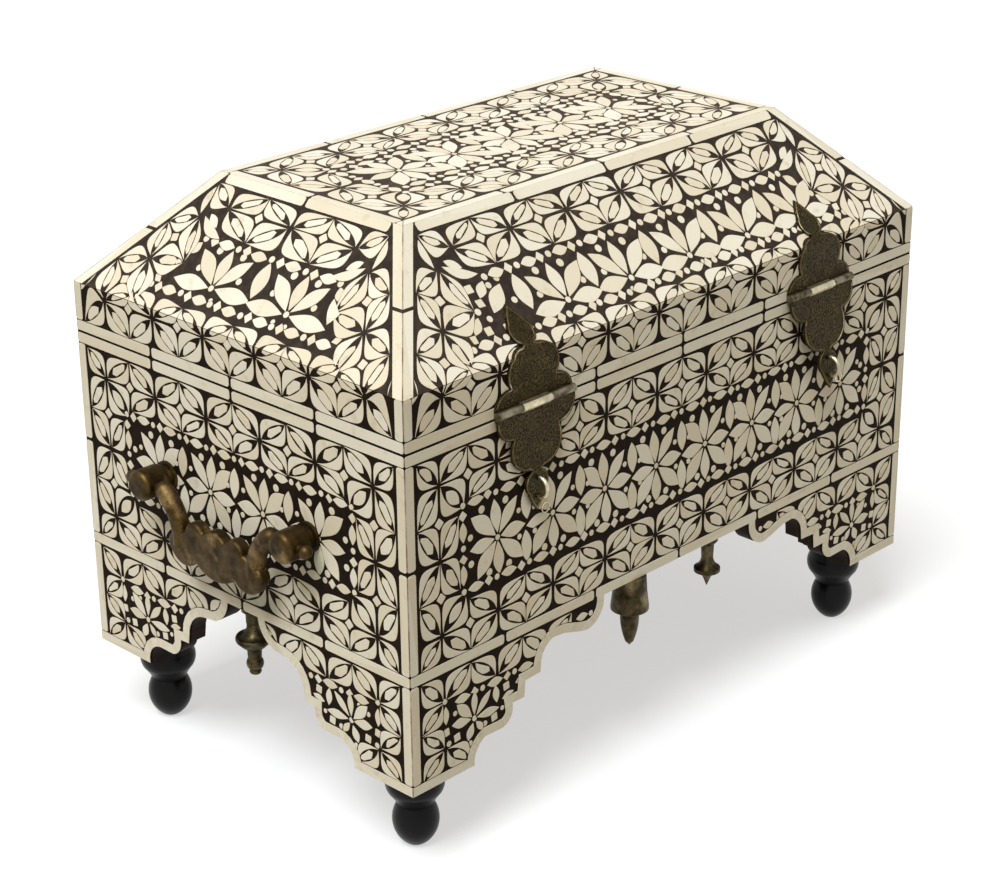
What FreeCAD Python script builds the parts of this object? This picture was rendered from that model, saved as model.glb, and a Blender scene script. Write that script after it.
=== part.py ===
"""Bone-inlaid dowry chest: hipped lid, scalloped bracket skirts, turned feet, brass hasps and bail handles.

Millimetres, +Z up, +X along the chest, -Y out of its front. The floor is z = 0 and the origin lies
under the middle of the whole object's box.
"""
import FreeCAD, Part
import math
import os
import re
import types

doc = FreeCAD.newDocument("dowry_chest")
sheet = doc.addObject("Spreadsheet::Sheet", "Dimensions")

# Driving dimensions of the chest
SIZES = {
    # case
    "body_width": 660, "body_depth": 410, "foot_drop": 77, "skirt_rise": 100, "seam_rise": 302,
    "board_thickness": 16, "floor_thickness": 14, "ground_thickness": 2.5,
    # lid
    "lid_gap": 0.4, "band_rise": 45.5, "hip_rise": 96.5, "hip_inset": 93.5, "lid_thickness": 12,
    # bone strips: width, height above the ground, breaks between lengths
    "strip_width": 9, "strip_proud": 0.4, "strip_break": 3, "strip_margin": 1, "strip_round": 2.6,
    "stripe_rise": 104.5, "scallop_width": 8.5, "long_lengths": 6, "short_lengths": 4,
    "long_top_lengths": 4, "short_top_lengths": 2,
    "side_lengths": 2, "hip_lengths": 2,
    # bracket skirts
    "front_arch": 198, "end_arch": 40,
    # corner blocks and feet
    "block_side": 46, "plinth_side": 43, "plinth_thickness": 6, "foot_radius": 25.5,
    # pendants
    "pendant_drop": 66, "pendant_radius": 16, "pendant_spacing": 106, "bell_drop": 70, "bell_radius": 17,
    "bud_drop": 50, "bud_radius": 12,
    # hasps
    "hasp_inset": 143, "hasp_width": 90, "hasp_length": 91, "hasp_thickness": 1.8,
    "hasp_barrel_radius": 3.6, "hasp_pin_radius": 1.6, "hasp_middle_knuckle": 34,
    "loop_height": 21, "loop_reach": 13, "loop_wire": 4, "loop_level": 70, "peg_radius": 2,
    "left_hasp_tilt": 0, "right_hasp_tilt": 9,
    "eyelet_radius": 4.4, "eyelet_wire": 1.2, "eyelet_drop": 95,
    "left_eyelet_reach": 14.5, "right_eyelet_reach": 38,
    # back hinges
    "hinge_inset": 143, "hinge_width": 76, "hinge_leaf": 34, "hinge_thickness": 2,
    "hinge_barrel_radius": 3.5, "hinge_pin_radius": 1.6, "hinge_middle_knuckle": 28,
    # handles
    "pivot_rise": 198, "pivot_standoff": 22, "pivot_pin_radius": 4.5, "post_spacing": 181,
    "post_radius": 13.8, "post_length": 34, "post_round": 5, "post_neck_radius": 10.5,
    "post_neck_length": 3.5, "post_plate_radius": 13.5, "post_plate_thickness": 3,
    "pin_head_radius": 6, "arm_radius": 8.2, "grip_drop": 62,
    "grip_width": 120, "grip_thickness": 13, "grip_round": 3.5,
    "notch_round": 2.5,
    # clearances
    "axial_clearance": 0.4, "pin_clearance": 0.08, "rest_clearance": 0.3,
}

for row, (alias, value) in enumerate(SIZES.items(), start=1):
    sheet.set("A%d" % row, alias)
    sheet.set("B%d" % row, str(value))
    sheet.setAlias("B%d" % row, alias)
# Half of what the front hardware stands out further than the back: filled in once all is built
OFFSET_CELL = "B%d" % (len(SIZES) + 1)
sheet.set(OFFSET_CELL, "0")
sheet.setAlias(OFFSET_CELL, "depth_offset")
doc.recompute()

dim = types.SimpleNamespace(**{alias: float(sheet.get(alias)) for alias in SIZES})

X_AXIS = FreeCAD.Vector(1, 0, 0)
Y_AXIS = FreeCAD.Vector(0, 1, 0)
Z_AXIS = FreeCAD.Vector(0, 0, 1)

# Levels and places that follow from the driving dimensions
half_width = dim.body_width / 2
half_depth = dim.body_depth / 2
case_bottom = dim.foot_drop + dim.skirt_rise
seam_level = dim.foot_drop + dim.seam_rise
lid_bottom = seam_level + dim.lid_gap
band_top = seam_level + dim.band_rise
lid_top = band_top + dim.hip_rise
slope_length = math.hypot(dim.hip_inset, dim.hip_rise)
wall_depth = dim.ground_thickness + dim.board_thickness
nodes = []


def bound(expression):
    """The expression with each alias read from the sheet."""
    def name(match):
        word = match.group(0)
        return "Dimensions." + word if word in SIZES else word
    return re.sub(r"[a-z_]+", name, expression)


def node(label, *features):
    """One named sub-part made of one or more separate solids."""
    part = doc.addObject("Part::Compound", label)
    part.Label = label
    part.Links = list(features)
    part.setExpression(".Placement.Base.y", "Dimensions.depth_offset")
    nodes.append(part)
    return part


def box(name, length, width, height, x, y, z):
    """A block whose sizes and place are expressions on the sheet."""
    block = doc.addObject("Part::Box", name)
    for field, expression in (("Length", length), ("Width", width), ("Height", height),
                              (".Placement.Base.x", x), (".Placement.Base.y", y), (".Placement.Base.z", z)):
        block.setExpression(field, bound(expression))
    return block


def solid(name, shape):
    """A piece whose form is neither a primitive nor a sketch."""
    piece = doc.addObject("Part::Feature", name)
    piece.Shape = shape
    return piece


class Face:
    """A flat face of the chest, seen from outside: its lower left corner, the way along it and the way up it."""

    def __init__(self, corner, along, up, length):
        self.corner = corner
        self.along = along
        self.up = up
        self.out = along.cross(up)
        self.length = length

    def at(self, u, v, n=0.0):
        return self.corner + self.along * u + self.up * v + self.out * n


def wire(face, start, steps, n=0.0):
    """A wire on a face from straight steps (u, v) and arcs (u through, v through, u, v)."""
    edges = []
    here = face.at(start[0], start[1], n)
    for step in steps:
        there = face.at(step[-2], step[-1], n)
        if len(step) == 2:
            edges.append(Part.LineSegment(here, there).toShape())
        else:
            edges.append(Part.Arc(here, face.at(step[0], step[1], n), there).toShape())
        here = there
    return Part.Wire(edges)


def plate(face, start, steps, low, high):
    """A plate with the given outline, between two heights above a face."""
    closing = [] if steps[-1][-2:] == start else [start]
    outline = wire(face, start, steps + closing, low)
    return Part.Face(outline).extrude(face.out * (high - low))


def bar(face, u_low, v_low, u_high, v_high):
    """A bone length with rounded corners, lying on a face."""
    r = dim.strip_round
    k = r * (1 - math.sqrt(0.5))
    steps = [(u_high - r, v_low), (u_high - k, v_low + k, u_high, v_low + r),
             (u_high, v_high - r), (u_high - k, v_high - k, u_high - r, v_high),
             (u_low + r, v_high), (u_low + k, v_high - k, u_low, v_high - r),
             (u_low, v_low + r), (u_low + k, v_low + k)]
    corner = steps.pop()
    start = (u_low + r, v_low)
    outline = wire(face, start, steps + [corner + start])
    return Part.Face(outline).extrude(face.out * dim.strip_proud)


def run_of_bars(face, low, high, across_low, across_high, lengths, upright=False):
    """A strip of bone in equal lengths with small breaks between them."""
    count = int(lengths)
    pitch = (high - low + dim.strip_break) / count
    bars = []
    for i in range(count):
        begin = low + i * pitch
        end = begin + pitch - dim.strip_break
        if upright:
            bars.append(bar(face, across_low, begin, across_high, end))
        else:
            bars.append(bar(face, begin, across_low, end, across_high))
    return bars


def mitred_board(side, low, high, outer, inner):
    """A board round the case with 45 degree ends. outer and inner give its inset at the low and high edge."""
    corners = []
    for level, inset in ((low, outer[0]), (high, outer[1]), (high, inner[1]), (low, inner[0])):
        x = half_width - inset
        y = half_depth - inset
        ends = {"front": ((-x, -y), (x, -y)), "right": ((x, -y), (x, y)),
                "back": ((x, y), (-x, y)), "left": ((-x, y), (-x, -y))}[side]
        corners.append([FreeCAD.Vector(ex, ey, level) for ex, ey in ends])
    faces = []
    for i in range(4):
        a, b = corners[i], corners[(i + 1) % 4]
        faces.append(Part.Face(Part.makePolygon([a[0], a[1], b[1], b[0], a[0]])))
    for end in (0, 1):
        ring = [c[end] for c in corners]
        faces.append(Part.Face(Part.makePolygon(ring + [ring[0]])))
    board = Part.Solid(Part.Shell(faces))
    if board.Volume < 0:
        board.reverse()
    return board


SIDES = ("front", "right", "back", "left")


def case_face(side, level, inset=0.0, lean=False):
    """The upright face of a side at a level, or the lid's slope above it."""
    x = half_width - inset
    y = half_depth - inset
    corner, along, inward = {
        "front": ((-x, -y), X_AXIS, Y_AXIS), "right": ((x, -y), Y_AXIS, -X_AXIS),
        "back": ((x, y), -X_AXIS, -Y_AXIS), "left": ((-x, y), -Y_AXIS, X_AXIS)}[side]
    up = Z_AXIS
    if lean:
        up = (inward * dim.hip_inset + Z_AXIS * dim.hip_rise) * (1 / slope_length)
    length = 2 * (x if side in ("front", "back") else y)
    return Face(FreeCAD.Vector(corner[0], corner[1], level), along, up, length)


# Case boards: front and back run through, the ends and the floor fit between them
BOARD_HEIGHT = "seam_rise - skirt_rise"
CASE_BOTTOM = "foot_drop + skirt_rise"
INNER_X = "body_width / 2 - ground_thickness - board_thickness"
INNER_Y = "body_depth / 2 - ground_thickness - board_thickness"
LONG = "body_width - 2 * ground_thickness"
SHORT = "body_depth - 2 * ground_thickness - 2 * board_thickness"
OUTER_X = "-(body_width / 2 - ground_thickness)"
OUTER_Y = "-(body_depth / 2 - ground_thickness)"
node("front_board", box("front_plank", LONG, "board_thickness", BOARD_HEIGHT, OUTER_X, OUTER_Y, CASE_BOTTOM))
node("back_board", box("back_plank", LONG, "board_thickness", BOARD_HEIGHT, OUTER_X, INNER_Y, CASE_BOTTOM))
node("left_board", box("left_plank", "board_thickness", SHORT, BOARD_HEIGHT,
                       OUTER_X, "-(" + INNER_Y + ")", CASE_BOTTOM))
node("right_board", box("right_plank", "board_thickness", SHORT, BOARD_HEIGHT,
                        INNER_X, "-(" + INNER_Y + ")", CASE_BOTTOM))
node("floor_board", box("floor_plank", "2 * (" + INNER_X + ")", SHORT, "floor_thickness",
                        "-(" + INNER_X + ")", "-(" + INNER_Y + ")", CASE_BOTTOM))

# Scalloped skirts. Each step of the outline is in shares of the skirt's reach and of its rise
FRONT_SCALLOP_SHARES = [
    (0.307, 0.0), (0.322, 0.145, 0.363, 0.223), (0.450, 0.218), (0.496, 0.282, 0.504, 0.406),
    (0.567, 0.406), (0.574, 0.557), (0.654, 0.565), (0.657, 0.650), (0.678, 0.765, 0.723, 0.832),
    (0.779, 0.822), (0.866, 0.762), (0.905, 0.743), (0.967, 0.800, 1.0, 0.985)]
END_SCALLOP_SHARES = [
    (0.378, 0.0), (0.400, 0.155, 0.480, 0.220), (0.568, 0.218), (0.618, 0.290, 0.630, 0.400),
    (0.692, 0.406), (0.700, 0.500), (0.735, 0.660, 0.822, 0.743), (0.900, 0.760),
    (0.965, 0.840, 1.0, 0.985)]


def scallop(shares, reach):
    """The lower edge of a skirt, from the corner post's foot to the top of its arch."""
    scaled = []
    for step in shares:
        scaled.append(tuple(share * (reach if i % 2 == 0 else dim.skirt_rise) for i, share in enumerate(step)))
    scaled.append((reach, dim.skirt_rise))
    return scaled


def mirrored(steps, start, length):
    """The same outline walked backwards from the far end of a face."""
    points = [start] + steps
    back = []
    for i in range(len(steps), 0, -1):
        previous = points[i - 1][-2:]
        step = points[i]
        if len(step) == 2:
            back.append((length - previous[0], previous[1]))
        else:
            back.append((length - step[0], step[1], length - previous[0], previous[1]))
    return back


def reach_of(side):
    """How far a skirt reaches in from the corner: half of what the open arch leaves of the side."""
    if side in ("front", "back"):
        return (dim.body_width - dim.front_arch) / 2
    return (dim.body_depth - dim.end_arch) / 2


def shares_of(side):
    return FRONT_SCALLOP_SHARES if side in ("front", "back") else END_SCALLOP_SHARES


def skirt_arm(side, at_end, first):
    """One arm of a corner bracket, from first to the arch, behind the inlay ground."""
    face = case_face(side, dim.foot_drop)
    steps = scallop(shares_of(side), reach_of(side))
    outline = steps + [(first, dim.skirt_rise)]
    start = (first, 0.0)
    if at_end:
        outline = mirrored(outline, start, face.length)
        start = (face.length - first, dim.skirt_rise)
    return plate(face, start, outline, -wall_depth, -dim.ground_thickness)


for corner, long_side, long_end, short_side, short_end in (
        ("front_left", "front", False, "left", True), ("front_right", "front", True, "right", False),
        ("back_right", "back", False, "right", True), ("back_left", "back", True, "left", False)):
    node("bracket_" + corner,
         solid(corner + "_long_arm", skirt_arm(long_side, long_end, dim.ground_thickness)),
         solid(corner + "_short_arm", skirt_arm(short_side, short_end, wall_depth)))

# Inlay ground: the dark layer that holds the bone, on every outer face of the case
for side in SIDES:
    face = case_face(side, dim.foot_drop)
    first = 0.0 if side in ("front", "back") else dim.ground_thickness
    steps = scallop(shares_of(side), reach_of(side))
    start = (first, 0.0)
    outline = list(steps) + [(face.length - reach_of(side), dim.skirt_rise)]
    outline += mirrored(steps, start, face.length)
    outline += [(face.length - first, dim.seam_rise), (first, dim.seam_rise)]
    node(side + "_ground", solid(side + "_ground_sheet", plate(face, start, outline, -dim.ground_thickness, 0.0)))


def arc_points(start, through, end, count):
    """Points along the arc from start, through a middle point, to end, without its start."""
    ax, ay = start
    bx, by = through
    cx, cy = end
    turn = 2 * (ax * (by - cy) + bx * (cy - ay) + cx * (ay - by))
    a2, b2, c2 = ax * ax + ay * ay, bx * bx + by * by, cx * cx + cy * cy
    ox = (a2 * (by - cy) + b2 * (cy - ay) + c2 * (ay - by)) / turn
    oy = (a2 * (cx - bx) + b2 * (ax - cx) + c2 * (bx - ax)) / turn
    radius = math.hypot(ax - ox, ay - oy)
    first = math.atan2(ay - oy, ax - ox)
    sweep = math.atan2(cy - oy, cx - ox) - first
    full = 2 * math.pi
    sweep = sweep % full if turn > 0 else -(-sweep % full)
    points = []
    for i in range(1, count + 1):
        angle = first + sweep * i / count
        points.append((ox + radius * math.cos(angle), oy + radius * math.sin(angle)))
    return points


ARC_FACETS = 6


def inner_edge(start, steps, width):
    """The outline moved into the material by width, as straight runs."""
    points = [start]
    for step in steps:
        if len(step) == 2:
            points.append(step)
        else:
            points += arc_points(points[-1], step[:2], step[2:], ARC_FACETS)
    normals = []
    for a, b in zip(points, points[1:]):
        run = math.hypot(b[0] - a[0], b[1] - a[1])
        normals.append(((a[1] - b[1]) / run, (b[0] - a[0]) / run))
    moved = []
    for i, (u, v) in enumerate(points):
        before = normals[max(i - 1, 0)]
        after = normals[min(i, len(normals) - 1)]
        grow = width / (1 + before[0] * after[0] + before[1] * after[1])
        moved.append((u + (before[0] + after[0]) * grow, v + (before[1] + after[1]) * grow))
    return moved


def scallop_strip(side, at_end):
    """The bone strip that follows a skirt's scalloped edge, foot included, up to the stripe over it."""
    face = case_face(side, dim.foot_drop)
    reach = reach_of(side)
    steps = scallop(shares_of(side), reach)[:-1]
    strip_top = dim.stripe_rise - dim.strip_width / 2
    steps.append((reach, strip_top))
    start = (0.0, 0.0)
    inner = inner_edge(start, steps, dim.scallop_width)
    inner[-1] = (inner[-1][0], strip_top)
    outline = steps + inner[::-1]
    if at_end:
        outline = [tuple(face.length - value if i % 2 == 0 else value for i, value in enumerate(step))
                   for step in outline]
        start = (face.length, 0.0)
    return plate(face, start, outline, 0.0, dim.strip_proud)


# Bone strips of the case: along the seam, up both edges, the stripe over the skirts, and the scallops
for side in SIDES:
    face = case_face(side, dim.foot_drop)
    lengths = dim.long_lengths if side in ("front", "back") else dim.short_lengths
    top = dim.seam_rise - dim.strip_margin
    pieces = run_of_bars(face, 0.0, face.length, top - dim.strip_width, top, lengths)
    pieces += run_of_bars(face, 0.0, face.length, dim.stripe_rise - dim.strip_width / 2,
                          dim.stripe_rise + dim.strip_width / 2, lengths)
    upper_low = dim.stripe_rise + dim.strip_width / 2 + dim.strip_margin
    upper_high = top - dim.strip_width - dim.strip_margin
    lower_low = dim.scallop_width + dim.strip_margin
    lower_high = dim.stripe_rise - dim.strip_width / 2 - dim.strip_margin
    for edge in (0.0, face.length - dim.strip_width):
        pieces += run_of_bars(face, upper_low, upper_high, edge, edge + dim.strip_width, dim.side_lengths, True)
        pieces += run_of_bars(face, lower_low, lower_high, edge, edge + dim.strip_width, 1, True)
    pieces += [scallop_strip(side, False), scallop_strip(side, True)]
    node(side + "_strips", *[solid("%s_strip_%d" % (side, i), piece) for i, piece in enumerate(pieces)])


def turned(name, x, y, top, drop, radius, shares, upward=False):
    """A turned piece on an upright axis. Its profile is in shares of its radius and of its height."""
    grow = drop if upward else -drop
    plane = Face(FreeCAD.Vector(x, y, top), X_AXIS, Z_AXIS, radius)
    steps = []
    for step in shares:
        steps.append(tuple(share * (radius if i % 2 == 0 else grow) for i, share in enumerate(step)))
    start = (0.0, 0.0)
    profile = solid(name + "_profile", Part.Face(wire(plane, start, steps + [start])))
    piece = doc.addObject("Part::Revolution", name)
    piece.Source = profile
    piece.Axis = Z_AXIS
    piece.Base = plane.corner
    piece.Angle = 360
    piece.Solid = True
    return piece


# Corner blocks under the floor board, and the turned feet that stand under them
FOOT_SHARES = [
    (0.314, 0.0), (0.776, 0.240, 0.612, 0.500), (0.729, 0.571, 0.922, 0.662),
    (1.0, 0.753, 0.941, 0.857), (0.82, 1.0), (0.0, 1.0)]
foot_inset = wall_depth + dim.block_side / 2
CORNERS = (("front_left", -1, -1), ("front_right", 1, -1), ("back_right", 1, 1), ("back_left", -1, 1))
BLOCK_INSET = "(ground_thickness + board_thickness + block_side / 2)"
blocks = []
for corner, sx, sy in CORNERS:
    centre_x = "%d * (body_width / 2 - %s)" % (sx, BLOCK_INSET)
    centre_y = "%d * (body_depth / 2 - %s)" % (sy, BLOCK_INSET)
    blocks.append(box("block_" + corner, "block_side", "block_side", "skirt_rise - plinth_thickness",
                      centre_x + " - block_side / 2", centre_y + " - block_side / 2",
                      "foot_drop + plinth_thickness"))
    ball = turned("turning_" + corner, sx * (half_width - foot_inset), sy * (half_depth - foot_inset),
                  0.0, dim.foot_drop, dim.foot_radius, FOOT_SHARES, upward=True)
    plinth = box("plinth_" + corner, "plinth_side", "plinth_side", "plinth_thickness",
                 centre_x + " - plinth_side / 2", centre_y + " - plinth_side / 2", "foot_drop")
    foot = doc.addObject("Part::MultiFuse", "foot_body_" + corner)
    foot.Shapes = [ball, plinth]
    node("foot_" + corner, foot)
node("corner_blocks", *blocks)

# Turned brass pendants under the arches
PENDANT_SHARES = [
    (0.60, 0.0), (0.60, 0.06), (0.39, 0.09), (0.375, 0.23), (0.50, 0.37, 0.95, 0.43),
    (1.0, 0.47, 0.90, 0.515), (0.66, 0.575), (0.41, 0.60), (0.375, 0.755), (0.475, 0.825, 0.40, 0.89),
    (0.28, 0.91), (0.33, 0.95, 0.20, 0.985), (0.0, 1.0)]
BELL_SHARES = [
    (0.85, 0.0), (0.90, 0.22), (1.0, 0.43), (1.0, 0.475), (0.60, 0.535), (0.50, 0.55),
    (0.42, 0.77, 0.22, 0.94), (0.0, 1.0)]
BUD_SHARES = [
    (0.78, 0.0), (0.78, 0.08), (0.50, 0.16), (0.46, 0.38), (0.58, 0.52, 1.0, 0.62), (1.0, 0.69),
    (0.42, 0.77), (0.27, 0.84), (0.0, 1.0)]
end_line = half_width - dim.ground_thickness - dim.board_thickness / 2
front_line = half_depth - dim.ground_thickness - dim.board_thickness / 2
for side, sx in (("left", -1), ("right", 1)):
    node(side + "_end_pendant", turned(side + "_drop", sx * end_line, 0.0, case_bottom,
                                       dim.pendant_drop, dim.pendant_radius, PENDANT_SHARES))
node("front_left_pendant", turned("bell_drop_front", -dim.pendant_spacing / 2, -front_line, case_bottom,
                                  dim.bell_drop, dim.bell_radius, BELL_SHARES))
node("front_right_pendant", turned("bud_drop_front", dim.pendant_spacing / 2, -front_line, case_bottom,
                                   dim.bud_drop, dim.bud_radius, BUD_SHARES))
node("back_pendants", *[turned("bell_drop_back_%d" % (i + 1), x, front_line, case_bottom,
                               dim.bell_drop, dim.bell_radius, BELL_SHARES)
                        for i, x in enumerate((dim.pendant_spacing / 2, -dim.pendant_spacing / 2))])

# Lid boards: upright rails, mitred slopes and the flat top between them


def sloped(depth):
    """How far a layer at a depth under the slope lies inside the edge, measured level."""
    return depth * slope_length / dim.hip_rise


def slope_inset(depth, level):
    """The inset of a layer of the slopes at a level."""
    return sloped(depth) + dim.hip_inset * (level - band_top) / dim.hip_rise


def hipped_slab(low, high, depth):
    """A level slab whose edges lean with the slopes, at a depth under them."""
    rings = []
    for level in (low, high):
        x = half_width - slope_inset(depth, level)
        y = half_depth - slope_inset(depth, level)
        ring = [FreeCAD.Vector(a, b, level) for a, b in ((-x, -y), (x, -y), (x, y), (-x, y))]
        rings.append(Part.makePolygon(ring + [ring[0]]))
    return Part.makeLoft(rings, True, True)


ground = dim.ground_thickness
lid_wall = ground + dim.lid_thickness
top_board_low = lid_top - lid_wall
rails = []
for side in SIDES:
    rails.append(solid(side + "_rail", mitred_board(side, lid_bottom, band_top, (ground, ground),
                                                    (lid_wall, lid_wall))))
    node("lid_%s_slope" % side, solid(side + "_slope_board", mitred_board(
        side, band_top, top_board_low, (slope_inset(ground, band_top), slope_inset(ground, top_board_low)),
        (slope_inset(lid_wall, band_top), slope_inset(lid_wall, top_board_low)))))
    node("lid_%s_ground" % side,
         solid(side + "_band_sheet", mitred_board(side, lid_bottom, band_top, (0.0, 0.0), (ground, ground))),
         solid(side + "_slope_sheet", mitred_board(side, band_top, lid_top, (0.0, dim.hip_inset),
                                                   (sloped(ground), slope_inset(ground, lid_top)))))
node("lid_rails", *rails)
node("lid_top_board", solid("top_board", hipped_slab(top_board_low, lid_top - ground, ground)))
node("lid_top_ground", solid("top_sheet", hipped_slab(lid_top - ground, lid_top, ground)))

# Bone strips of the lid
hip_length = math.hypot(dim.hip_inset, slope_length)
hip_strip_width = dim.strip_width * hip_length / slope_length


def hip_strips(face):
    """The strips that run up both hips of a slope, with ends cut level."""
    strips = []
    pitch = (slope_length + dim.strip_break) / dim.hip_lengths
    for i in range(int(dim.hip_lengths)):
        low = i * pitch
        high = low + pitch - dim.strip_break
        shift_low = dim.hip_inset * low / slope_length
        shift_high = dim.hip_inset * high / slope_length
        outline = [(shift_low + hip_strip_width, low), (shift_high + hip_strip_width, high), (shift_high, high)]
        start = (shift_low, low)
        strips.append(plate(face, start, outline, 0.0, dim.strip_proud))
        strips.append(plate(face, (face.length - start[0], start[1]),
                            [(face.length - u, v) for u, v in outline], 0.0, dim.strip_proud))
    return strips


for side in SIDES:
    band = case_face(side, lid_bottom)
    slope = case_face(side, band_top, lean=True)
    is_long = side in ("front", "back")
    lengths, top_lengths = ((dim.long_lengths, dim.long_top_lengths) if is_long
                            else (dim.short_lengths, dim.short_top_lengths))
    band_height = band_top - lid_bottom
    strip_high = dim.strip_margin + dim.strip_width
    pieces = run_of_bars(band, 0.0, band.length, dim.strip_margin, strip_high, lengths)
    for edge in (0.0, band.length - dim.strip_width):
        pieces += run_of_bars(band, strip_high + dim.strip_margin, band_height,
                              edge, edge + dim.strip_width, 1, True)
    top_low = dim.hip_inset + hip_strip_width + dim.strip_margin
    pieces += run_of_bars(slope, top_low, slope.length - top_low, slope_length - dim.strip_width, slope_length,
                          top_lengths)
    pieces += hip_strips(slope)
    node("lid_%s_strips" % side, *[solid("lid_%s_strip_%d" % (side, i), piece) for i, piece in enumerate(pieces)])

top_face = case_face("front", lid_top, dim.hip_inset)
top_face.up = Y_AXIS
top_face.out = Z_AXIS
top_depth = dim.body_depth - 2 * dim.hip_inset
pieces = []
for edge in (0.0, top_depth - dim.strip_width):
    pieces += run_of_bars(top_face, 0.0, top_face.length, edge, edge + dim.strip_width,
                          dim.long_top_lengths)
for edge in (0.0, top_face.length - dim.strip_width):
    pieces += run_of_bars(top_face, dim.strip_width + dim.strip_margin,
                          top_depth - dim.strip_width - dim.strip_margin,
                          edge, edge + dim.strip_width, dim.short_top_lengths, True)
node("lid_top_strips", *[solid("lid_top_strip_%d" % i, piece) for i, piece in enumerate(pieces)])


def rod(face, u_low, u_high, v, n, radius):
    """A round bar along a face."""
    return Part.makeCylinder(radius, u_high - u_low, face.at(u_low, v, n), face.along)


# Hasps: a bent upper leaf on the lid, a lower leaf that hangs from it on a pin, and a small eyelet
LEAF_SHARES = [
    (0.92, 0.165, 0.60, 0.238), (0.635, 0.43, 0.20, 0.588), (0.12, 0.61), (0.29, 0.70, 0.22, 0.82),
    (0.12, 0.92, 0.0, 1.0)]
half_hasp = dim.hasp_width / 2
half_knuckle = dim.hasp_middle_knuckle / 2
hasp_standoff = dim.hasp_barrel_radius + dim.rest_clearance
out_of_slope = (-dim.hip_rise / slope_length, dim.hip_inset / slope_length)
up_slope = (dim.hip_inset / slope_length, dim.hip_rise / slope_length)


def leaf_height(share):
    """The height on the chest of a share of the upper leaf's length, the part past the crease foreshortened."""
    length = share * dim.hasp_length
    if length <= dim.band_rise:
        return length
    return dim.band_rise + (length - dim.band_rise) * dim.hip_rise / slope_length


def leaf_outline(heights):
    """A leaf's outline, from its root at the right up to the tip and down to the left."""
    root = (half_hasp, heights(0.0))
    right = []
    for step in LEAF_SHARES:
        right.append(tuple(share * half_hasp if i % 2 == 0 else heights(share) for i, share in enumerate(step)))
    return root, right + mirrored(right, root, 0.0)


def crease(n):
    """The point of the bend between band and slope at a height above the ground, as y and z."""
    spread = 1 + dim.hip_rise / slope_length
    return (-half_depth + n * (out_of_slope[0] - 1) / spread, band_top + n * out_of_slope[1] / spread)


def upper_leaf(centre):
    low = dim.strip_proud
    high = low + dim.hasp_thickness
    reach = dim.hasp_length
    profile = []
    for n in (low, high):
        bend = crease(n)
        run = [(-half_depth - n, seam_level), bend, (bend[0] + reach * up_slope[0], bend[1] + reach * up_slope[1])]
        profile += run if n == low else run[::-1]
    points = [FreeCAD.Vector(centre - half_hasp, y, z) for y, z in profile]
    bent = Part.Face(Part.makePolygon(points + [points[0]])).extrude(X_AXIS * dim.hasp_width)
    front = Face(FreeCAD.Vector(centre, -half_depth, seam_level), X_AXIS, Z_AXIS, dim.hasp_width)
    start, steps = leaf_outline(leaf_height)
    leaf = plate(front, start, steps, -half_depth, half_depth).common(bent)
    standoff = low + hasp_standoff
    level = dim.hasp_barrel_radius
    gap = dim.axial_clearance
    window = plate(front, (-half_knuckle - gap, -gap),
                   [(half_knuckle + gap, -gap), (half_knuckle + gap, 2 * level + gap),
                    (-half_knuckle - gap, 2 * level + gap)], 0.0, standoff)
    leaf = leaf.cut(window)
    for low_end, high_end in ((-half_hasp, -half_knuckle - gap), (half_knuckle + gap, half_hasp)):
        leaf = leaf.fuse(rod(front, low_end, high_end, level, standoff, dim.hasp_barrel_radius))
    return leaf.cut(rod(front, -half_hasp, half_hasp, level, standoff, dim.hasp_pin_radius)).removeSplitter()


def lower_leaf(centre, tilt):
    front = Face(FreeCAD.Vector(centre, -half_depth - dim.strip_proud, seam_level), X_AXIS, Z_AXIS,
                 dim.hasp_width)
    level = dim.hasp_barrel_radius
    standoff = hasp_standoff
    half_plate = dim.hasp_thickness / 2
    gap = dim.axial_clearance
    start, steps = leaf_outline(lambda share: -share * dim.hasp_length)
    leaf = plate(front, start, steps, standoff - half_plate, standoff + half_plate)
    neck = Part.makeBox(dim.hasp_middle_knuckle, dim.hasp_thickness, 2 * level,
                        front.at(-half_knuckle, -level, standoff + half_plate))
    leaf = leaf.fuse(neck)
    for low_end, high_end in ((-half_hasp - gap, -half_knuckle), (half_knuckle, half_hasp + gap)):
        leaf = leaf.cut(rod(front, low_end, high_end, level, standoff, dim.hasp_barrel_radius + gap))
    leaf = leaf.fuse(rod(front, -half_knuckle, half_knuckle, level, standoff, dim.hasp_barrel_radius))
    ring_radius = (dim.loop_height - dim.loop_wire) / 2
    ring_out = standoff + half_plate + dim.loop_reach - dim.loop_wire / 2 - ring_radius
    ring = Part.makeTorus(ring_radius, dim.loop_wire / 2, front.at(0.0, -dim.loop_level, ring_out), X_AXIS)
    behind = Part.makeBox(dim.loop_height, dim.loop_height, 2 * dim.loop_height,
                          front.at(-dim.loop_height / 2, -dim.loop_level - dim.loop_height, standoff))
    leaf = leaf.fuse(ring.cut(behind))
    turn = math.radians(tilt)
    arm = dim.loop_level + level
    peg_length = ((standoff + arm * math.sin(turn)) / math.cos(turn) - dim.peg_radius * math.tan(turn)
                  - dim.rest_clearance)
    peg = Part.makeCylinder(dim.peg_radius, peg_length, front.at(0.0, -dim.loop_level, standoff), Y_AXIS)
    leaf = leaf.fuse(peg).cut(rod(front, -half_knuckle, half_knuckle, level, standoff,
                                  dim.hasp_pin_radius + dim.pin_clearance)).removeSplitter()
    leaf.rotate(front.at(0.0, level, standoff), X_AXIS, -tilt)
    return leaf


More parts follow.
